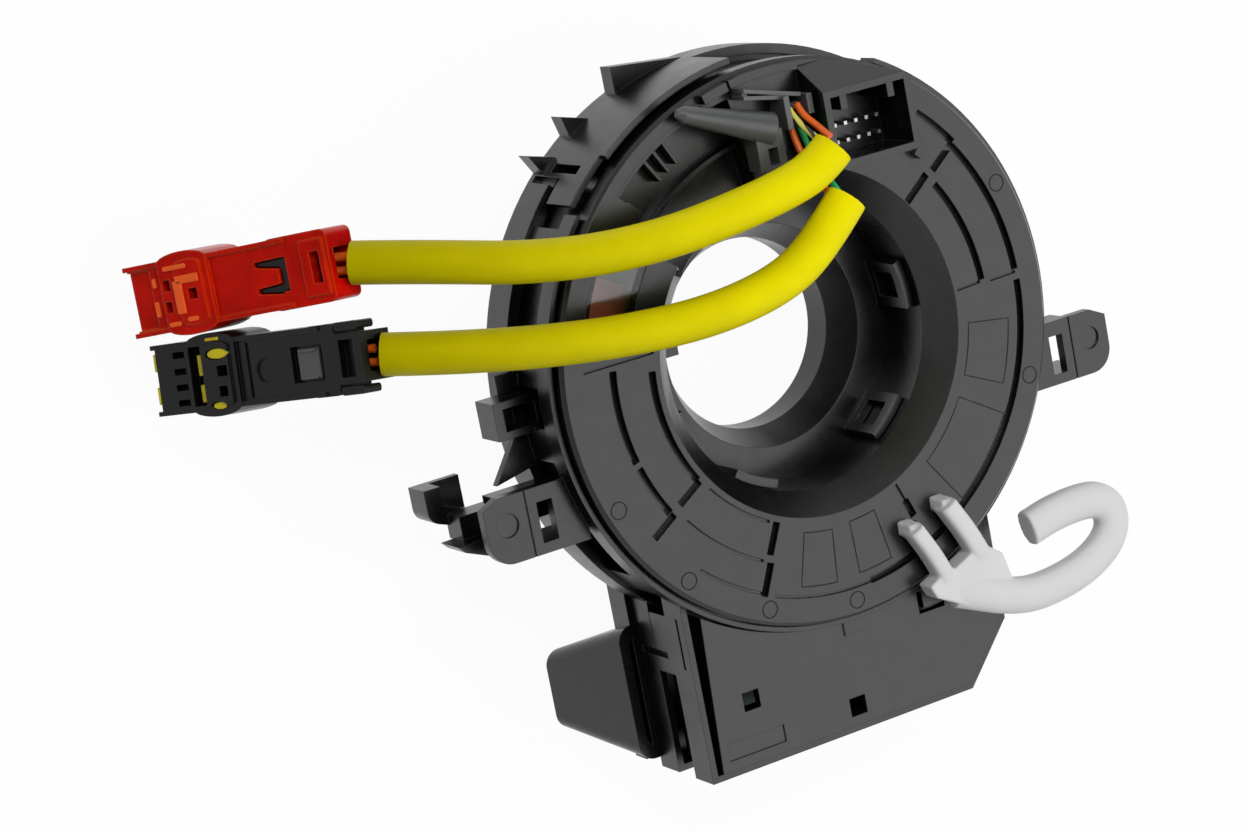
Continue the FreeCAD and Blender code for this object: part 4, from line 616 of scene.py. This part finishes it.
def red_shell():
    """The red plug's shell: one full end block, a hook's slot, pockets in the collar, a sunk nose."""
    start, collar, _, length = RED_STATIONS
    top = PLUG_TOP
    above = top + 1.0
    flat = top - 0.25
    end_block = (rounded(start, start + 12.0, -6.0, 6.0, 1.2), END_LOW, flat)
    taper_outline = [(start + 3.0, -6.0), (collar + 1.0, -5.6), (collar + 1.0, 5.6), (start + 3.0, 6.0)]
    pad = block(start + 0.6, start + 5.2, -4.6, 4.6, top - 1.0, top + 0.35)
    wire_mouth = block(start - 1.0, start + 4.6, -2.6, 2.6, -2.6, 2.9)
    end_window = block(start + 1.6, start + 3.4, -2.6, 2.6, 2.0, above)
    sunk_nose = block(34.6, length + 1.0, -4.9, 4.9, top - 1.5, above)
    pockets = [(30.0, 31.4, -2.6, -0.8), (30.3, 31.6, 1.0, 2.8), (24.6, 26.4, -0.6, 1.2)]
    solids = [end_block, (taper_outline, END_LOW, flat), pad, *plug_body(RED_STATIONS)]
    cuts = [wire_mouth, end_window, *red_hook(0.1, top - 2.6, above, above), sunk_nose]
    cuts += [block(*pocket, top - 2.0, top + 2.0) for pocket in pockets]
    return solids, cuts + nose_mouths(length)


def red_inserts():
    """Orange parts: an L bar and three short bars on the collar, two bars on the nose, two tabs in it."""
    top = PLUG_TOP
    low, high = top - 1.0, top + 1.25
    l_bar = [block(27.3, 29.0, -2.2, 3.3, low, high), block(23.8, 28.4, -3.0, -1.6, low, high)]
    short_bars = [(25.8, 30.5, -4.9, -4.1, top + 1.15), (29.1, 31.6, 4.4, 5.2, top + 0.6),
                  (25.2, 27.4, 4.0, 4.8, top + 1.15)]
    nose_bars = [(33.4, 34.2, -3.3, -1.7), (33.6, 34.5, 0.6, 3.2)]
    inserts = l_bar + [(rounded(*sides, 0.35), low, bar_high) for *sides, bar_high in short_bars]
    inserts += [block(*sides, top - 1.5, top - 0.5) for sides in nose_bars]
    return inserts + nose_tabs(RED_STATIONS[-1])


# The middle, half sizes and rise of each yellow oval
BLACK_OVALS = ((25.9, -3.4, 2.2, 0.9, 0.75), (26.8, 5.2, 1.5, 0.65, 0.55))


def black_shell():
    """The black plug's shell: end block, latch wings, lock recess, ejector disc, a slotted nose."""
    start, _, _, length = BLACK_STATIONS
    top = PLUG_TOP
    above = top + 1.0
    end_block = block(start, start + 7.6, -4.1, 4.1, END_LOW, top + 0.2)
    wing_outlines = [rounded(start + 0.2, start + 4.9, y - 0.7, y + 0.7, 0.5) for y in (-5.3, 5.3)]
    wings = [(outline, 0.4, top + 0.1) for outline in wing_outlines]
    shoulder = (rounded(start + 5.3, start + 10.5, -5.9, 5.9, 0.6), END_LOW, top - 0.1)
    wire_mouth = block(start - 1.0, start + 6.2, -2.6, 2.6, -2.6, 2.9)
    lock_recess = block(4.8, 11.4, -2.9, 3.1, top - 1.5, above)
    end_window = block(start + 1.4, start + 4.4, -3.1, 3.1, top - 1.6, above)
    disc = oval(16.8, 0.4, 2.1, 2.1, top - 0.75, above)
    groove = block(20.0, 20.6, -4.6, 4.6, top - 0.8, above)
    pockets = [(24.0, 26.2, -1.4, 0.4), (24.4, 26.2, 2.0, 3.8)]
    nose_gap = block(29.6, 32.2, -5.0, 5.0, top - 1.5, top + 2.0)
    solids = [end_block, *wings, shoulder, *plug_body(BLACK_STATIONS)]
    cuts = [wire_mouth, lock_recess, end_window, disc, groove]
    cuts += [block(*pocket, top - 2.0, top + 2.0) for pocket in pockets]
    for x, y, half_x, half_y, _ in BLACK_OVALS:
        cuts.append(oval(x, y, half_x + 0.2, half_y + 0.1, top - 2.0, top + 2.0))
    cuts.append(nose_gap)
    cuts += [block(34.0, 36.6, y - 0.55, y + 0.55, top - 2.4, above) for y in SLOT_Y]
    return solids, cuts + nose_mouths(length)


def black_inserts():
    """Yellow parts: two ovals, two bars in the gap, a strip on the collar and the tabs of the nose."""
    length = BLACK_STATIONS[-1]
    top = PLUG_TOP
    gap_bars = ((-3.5, 0.0), (1.5, 4.5))
    high_tabs = ((-4.5, -1.5), (1.1, 4.1))
    inserts = [oval(*middle_and_halves, top - 1.6, top + rise) for *middle_and_halves, rise in BLACK_OVALS]
    inserts += [block(30.1, 31.3, y0, y1, top - 2.4, top - 0.5) for y0, y1 in gap_bars]
    inserts.append((rounded(25.4, 28.2, -6.2, -5.6, 0.25), top - 1.0, top + 0.7))
    inserts += [block(length - 1.5, length + 0.3, y0, y1, top - 2.8, top - 1.1) for y0, y1 in high_tabs]
    return inserts + nose_tabs(length)


def black_lock():
    """A lock plate with a low wall along two of its edges."""
    low = PLUG_TOP - 1.8
    plate = block(5.8, 10.2, -2.4, 2.7, low, PLUG_TOP - 0.5)
    walls = [block(6.2, 9.8, y0, y1, low, PLUG_TOP - 0.1) for y0, y1 in ((-2.4, -1.8), (2.1, 2.7))]
    return [plate, *walls]


def ride_plug(pieces, name, shell_slot):
    """Rides a plug's shell, inserts and lock on the rotor, in place of the nodes of that name."""
    parts = ("", "_retainer", "_lock")
    slots = (shell_slot, "retainer_yellow", "plug_black")
    for piece, part, slot in zip(pieces, parts, slots):
        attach(piece, "rotor")
        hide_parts(name + part)
    return pieces


def make_red_plug(materials):
    at = plug_frame(PLUG_1_ENDS)
    hook = red_hook(0.0, PLUG_TOP - 2.9, PLUG_TOP - 0.8, PLUG_TOP - 1.0)
    pieces = [
        carved("red_plug_shell", *red_shell(), at, SHELL_EDGE, materials["plug_red"]),
        carved("red_plug_inserts", red_inserts(), [], at, SMALL_EDGE, materials["retainer_orange"]),
        carved("red_plug_bolt", hook, [], at, SMALL_EDGE, materials["plug_black"]),
    ]
    return ride_plug(pieces, "red_plug", "plug_red")


def make_black_plug(materials):
    at = plug_frame(PLUG_2_ENDS)
    pieces = [
        carved("black_plug_shell", *black_shell(), at, SHELL_EDGE, materials["plug_black"]),
        carved("black_plug_inserts", black_inserts(), [], at, SMALL_EDGE, materials["retainer_yellow"]),
        carved("black_plug_bolt", black_lock(), [], at, SMALL_EDGE, materials["lock_grey"]),
    ]
    return ride_plug(pieces, "black_plug", "plug_black")


# Moulding marks on the rotor: ejector rings and thin frame lines

# Angles in degrees of the ejector rings; then each frame's inner and outer radius, low and high angle
RIM_MARKS = (22.6, -22.0, -90.5, -112.7, -134.2, -157.6)
RIM_MARK_R = 47.2
RING_R = 1.5
FACE_FRAMES = ((33.0, 41.7, -25.0, -8.7), (33.0, 43.5, -55.0, -32.0), (33.0, 42.6, -88.5, -79.0),
               (33.4, 43.0, -105.0, -95.0))
LINE_HALF = 0.11
LINE_RISE = 0.05
LINE_DEPTH = 0.10


def height_on(node, x, y):
    """The height in millimetres at which a ray from above meets the node."""
    inverse = node.matrix_world.inverted()
    above = inverse @ metres((x, y, 2 * cad_high.z / MM))
    _, place, _, _ = node.ray_cast(above, inverse.to_3x3() @ Vector((0, 0, -1)))
    return (node.matrix_world @ place).z / MM


def closed_line(mesh, node, points):
    """A thin closed line of oblong section, partly sunk into the node."""
    centre = sum((Vector(point) for point in points), Vector((0, 0))) / len(points)
    rings = []
    for x, y in points:
        z = height_on(node, x, y)
        out = (Vector((x, y)) - centre).normalized() * LINE_HALF
        section = ((out, LINE_RISE), (-out, LINE_RISE), (-out, -LINE_DEPTH), (out, -LINE_DEPTH))
        rings.append([mesh.verts.new(metres((x + side.x, y + side.y, z + rise))) for side, rise in section])
    join_rings(mesh, rings, closed=True)


def ring_points(angle, steps=28):
    """Points round one ejector ring, whose middle is on the rim at that angle."""
    turn = math.radians(angle)
    x, y = RIM_MARK_R * math.cos(turn), RIM_MARK_R * math.sin(turn)
    around = [2 * math.pi * k / steps for k in range(steps)]
    return [(x + RING_R * math.cos(t), y + RING_R * math.sin(t)) for t in around]


def frame_points(inner, outer, low, high, steps=12):
    """Points round a frame between two radii and two angles."""
    share = [k / steps for k in range(steps + 1)]
    there = [(inner, low + (high - low) * t) for t in share]
    back = [(outer, high + (low - high) * t) for t in share]
    rise = [(inner + (outer - inner) * t, high) for t in (0.33, 0.67)]
    fall = [(outer + (inner - outer) * t, low) for t in (0.33, 0.67)]
    turns = [(r, math.radians(angle)) for r, angle in there + rise + back + fall]
    return [(r * math.cos(turn), r * math.sin(turn)) for r, turn in turns]


def make_marks(materials):
    disc = nodes["rotor_disc"]
    mesh = bmesh.new()
    for angle in RIM_MARKS:
        closed_line(mesh, disc, ring_points(angle))
    for inner, outer, low, high in FACE_FRAMES:
        closed_line(mesh, disc, frame_points(inner, outer, low, high))
    marks = object_from(mesh, "rotor_marks")
    dress(marks, materials["mark_dark"])
    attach(marks, "rotor")


# Lock clip: two fingers, a body over the rim and one smooth hooked tail

# Millimetres from the rim's point at CLIP_ANGLE; a finger has an outer end, an inner end and half a width
CLIP_ANGLE = -66.0
RIM_R = 50.0
CLIP_FINGERS = (((-8.5, 8.4), (-3.4, -2.4), 1.65), ((-1.0, 10.9), (4.6, -0.4), 1.9))
CLIP_TAIL = (
    (-1.6, -5.0), (1.5, -6.3), (7.0, -8.6), (12.6, -10.0), (18.8, -10.0), (25.2, -8.8), (30.3, -6.4),
    (33.0, -3.2), (33.0, 0.3), (30.4, 2.6), (26.5, 3.2), (20.8, 2.9), (14.8, 1.7))
CLIP_BASE = (
    (-8.0, -2.4), (-5.6, -1.4), (-1.9, -0.6), (1.7, 1.0), (6.1, 0.9), (8.4, -0.8), (9.6, -5.9),
    (8.2, -12.0), (-1.3, -7.9), (-6.9, -4.9))
CLIP_MID_Z = 29.6
TAIL_HALF = (3.4, 2.3)
FINGER_HALF_H = 2.1
FINGER_END_Z = 28.4
FINGER_MID_Z = 29.0
PRONG_HALF = 1.3
PRONG_Z = (29.2, 26.0, 22.6)
BASE_LOW_Z = 26.3
BASE_HIGH_Z = 30.3
CLIP_VOXEL = 0.28
CLIP_EASING = 0.5
CLIP_EASINGS = 7


def clip_at(x, y, z):
    corner = math.radians(CLIP_ANGLE)
    return Vector((RIM_R * math.cos(corner) + x, RIM_R * math.sin(corner) + y, z)) * MM


def bar_along(mesh, points, half_w, half_h, power=2.5, around=20):
    """A bar of rounded section along a line of points, with a flat cap at each end."""
    rings = []
    last = len(points) - 1
    for k, point in enumerate(points):
        along = (points[min(k + 1, last)] - points[max(k - 1, 0)]).normalized()
        across = Vector((-along.y, along.x, 0)).normalized()
        ring = []
        for j in range(around):
            turn = 2 * math.pi * j / around
            cos_t, sin_t = math.cos(turn), math.sin(turn)
            wide = half_w * math.copysign(abs(cos_t) ** (2 / power), cos_t)
            high = half_h * math.copysign(abs(sin_t) ** (2 / power), sin_t)
            ring.append(mesh.verts.new(point + (across * wide + Vector((0, 0, high))) * MM))
        rings.append(ring)
    join_rings(mesh, rings)


def smooth_line(points, steps=10):
    """Points along a Catmull-Rom curve through the given ones."""
    padded = [points[0] * 2 - points[1]] + list(points) + [points[-1] * 2 - points[-2]]
    line = []
    for k in range(1, len(padded) - 2):
        a, b, c, d = padded[k - 1:k + 3]
        for step in range(steps):
            t = step / steps
            bend = (2 * a - 5 * b + 4 * c - d) * t ** 2 + (3 * b - a - 3 * c + d) * t ** 3
            line.append(0.5 * (2 * b + (c - a) * t + bend))
    return line + [points[-1]]


def prong_bar(mesh, points):
    """A square bar that goes down through the given points."""
    corners = ((-1, -1), (1, -1), (1, 1), (-1, 1))
    rings = []
    for point in points:
        rings.append([mesh.verts.new(point + Vector((x, y, 0)) * PRONG_HALF * MM) for x, y in corners])
    join_rings(mesh, rings)


def clip_finger(mesh, outer, inner, half_w):
    """One finger over the rim and the prong that goes down from its outer end."""
    x0, y0 = outer
    x1, y1 = inner
    middle = clip_at(x0 * 0.5 + x1 * 0.5, y0 * 0.5 + y1 * 0.5, FINGER_MID_Z)
    rise = [clip_at(x0, y0, FINGER_END_Z), middle, clip_at(x1, y1, FINGER_END_Z)]
    bar_along(mesh, smooth_line(rise), half_w, FINGER_HALF_H, 4.0)
    top_z, bend_z, foot_z = PRONG_Z
    top = clip_at(x0 + 0.4, y0 - 0.5, top_z)
    foot = clip_at(x0 - 0.2, y0 + 0.2, foot_z)
    prong_bar(mesh, [top, clip_at(x0, y0, bend_z), foot])


def soften(piece):
    """Joins the piece's parts into one skin and eases its corners."""
    voxels = piece.modifiers.new("voxels", "REMESH")
    voxels.mode = "VOXEL"
    voxels.voxel_size = CLIP_VOXEL * MM
    easing = piece.modifiers.new("easing", "SMOOTH")
    easing.factor = CLIP_EASING
    easing.iterations = CLIP_EASINGS
    settle(piece)
    for face in piece.data.polygons:
        face.use_smooth = True


def make_clip(materials):
    mesh = bmesh.new()
    tail = [clip_at(x, y, CLIP_MID_Z - max(0.0, 1.5 - 0.5 * k)) for k, (x, y) in enumerate(CLIP_TAIL)]
    bar_along(mesh, smooth_line(tail), *TAIL_HALF)
    for outer, inner, half_w in CLIP_FINGERS:
        clip_finger(mesh, outer, inner, half_w)
    prism(mesh, CLIP_BASE, BASE_LOW_Z, BASE_HIGH_Z, clip_at)
    clip = object_from(mesh, "rotor_lock")
    soften(clip)
    dress(clip, materials["clip_white"])
    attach(clip, "clip")
    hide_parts("lock_clip")


# Floor, world and lamps

WHITE = (1.0, 1.0, 1.0, 1.0)
FLOOR_HALF = 3.0
FLOOR_SHADE = (0.9, 0.9, 0.9, 1.0)
FLOOR_SEEN_WHITE = 0.95
SOFT_LIGHT = 0.22
SKY_FADE = {"From Min": 0.35, "From Max": 0.62, "To Min": 1.0, "To Max": 0.04}
# Each lamp's name, place in metres, size and power
LAMPS = (("key", (-0.25, 0.55, 0.95), 0.5, 5.0), ("overhead", (0.55, -0.25, 1.0), 1.2, 8.2))


def seen_rays(tree):
    """1 for camera, glossy and transmission rays, and 0 for the rest."""
    path = tree.nodes.new("ShaderNodeLightPath")
    rays = path.outputs["Is Camera Ray"]
    for name_of_ray in ("Is Glossy Ray", "Is Transmission Ray"):
        either = tree.nodes.new("ShaderNodeMath")
        either.operation = "MAXIMUM"
        tree.links.new(rays, either.inputs[0])
        tree.links.new(path.outputs[name_of_ray], either.inputs[1])
        rays = either.outputs[0]
    return rays


def floor_finish():
    """White to the camera, reflections and clear parts, while it keeps the object's shadow."""
    material = bpy.data.materials.new("floor")
    material.use_nodes = True
    tree = material.node_tree
    tree.nodes.clear()
    out = tree.nodes.new("ShaderNodeOutputMaterial")
    diffuse = tree.nodes.new("ShaderNodeBsdfDiffuse")
    diffuse.inputs["Color"].default_value = FLOOR_SHADE
    white = tree.nodes.new("ShaderNodeEmission")
    white.inputs["Color"].default_value = WHITE
    share = tree.nodes.new("ShaderNodeMath")
    share.operation = "MULTIPLY"
    share.inputs[1].default_value = FLOOR_SEEN_WHITE
    tree.links.new(seen_rays(tree), share.inputs[0])
    mix = tree.nodes.new("ShaderNodeMixShader")
    tree.links.new(share.outputs[0], mix.inputs[0])
    tree.links.new(diffuse.outputs[0], mix.inputs[1])
    tree.links.new(white.outputs[0], mix.inputs[2])
    tree.links.new(mix.outputs[0], out.inputs["Surface"])
    return material


def make_floor():
    mesh = bpy.data.meshes.new("floor")
    sides = ((-1, -1), (1, -1), (1, 1), (-1, 1))
    corners = [(x * FLOOR_HALF, y * FLOOR_HALF, FLOOR_Z) for x, y in sides]
    mesh.from_pydata(corners, [], [(0, 1, 2, 3)])
    mesh.materials.append(floor_finish())
    floor = bpy.data.objects.new("floor", mesh)
    scene.collection.objects.link(floor)


def make_lamp(name, place, size, power):
    """A round lamp that looks at the origin."""
    data = bpy.data.lights.new(name, "AREA")
    data.shape = "DISK"
    data.size = size
    data.energy = power
    lamp = bpy.data.objects.new(name, data)
    scene.collection.objects.link(lamp)
    lamp.location = place
    lamp.rotation_mode = "QUATERNION"
    lamp.rotation_quaternion = (-Vector(place)).to_track_quat("-Z", "Y")


def make_world():
    """White low down and dark overhead to camera, gloss and clear parts; an even, soft light to the rest."""
    world = bpy.data.worlds.new("world")
    world.use_nodes = True
    tree = world.node_tree
    tree.nodes.clear()
    out = tree.nodes.new("ShaderNodeOutputWorld")
    soft = tree.nodes.new("ShaderNodeBackground")
    soft.inputs["Color"].default_value = WHITE
    soft.inputs["Strength"].default_value = SOFT_LIGHT
    seen = tree.nodes.new("ShaderNodeBackground")
    seen.inputs["Color"].default_value = WHITE
    coords = tree.nodes.new("ShaderNodeTexCoord")
    height = tree.nodes.new("ShaderNodeSeparateXYZ")
    tree.links.new(coords.outputs["Generated"], height.inputs[0])
    fade = tree.nodes.new("ShaderNodeMapRange")
    for key, number in SKY_FADE.items():
        fade.inputs[key].default_value = number
    tree.links.new(height.outputs["Z"], fade.inputs["Value"])
    tree.links.new(fade.outputs["Result"], seen.inputs["Strength"])
    mix = tree.nodes.new("ShaderNodeMixShader")
    tree.links.new(seen_rays(tree), mix.inputs[0])
    tree.links.new(soft.outputs[0], mix.inputs[1])
    tree.links.new(seen.outputs[0], mix.inputs[2])
    tree.links.new(mix.outputs[0], out.inputs["Surface"])
    scene.world = world


def make_light():
    make_world()
    for name, place, size, power in LAMPS:
        make_lamp(name, place, size, power)


scene.view_settings.view_transform = "Standard"
make_camera()
finishes = make_materials()
dress_nodes(finishes)
make_leads(finishes)
make_clip(finishes)
make_marks(finishes)
make_floor()
make_light()
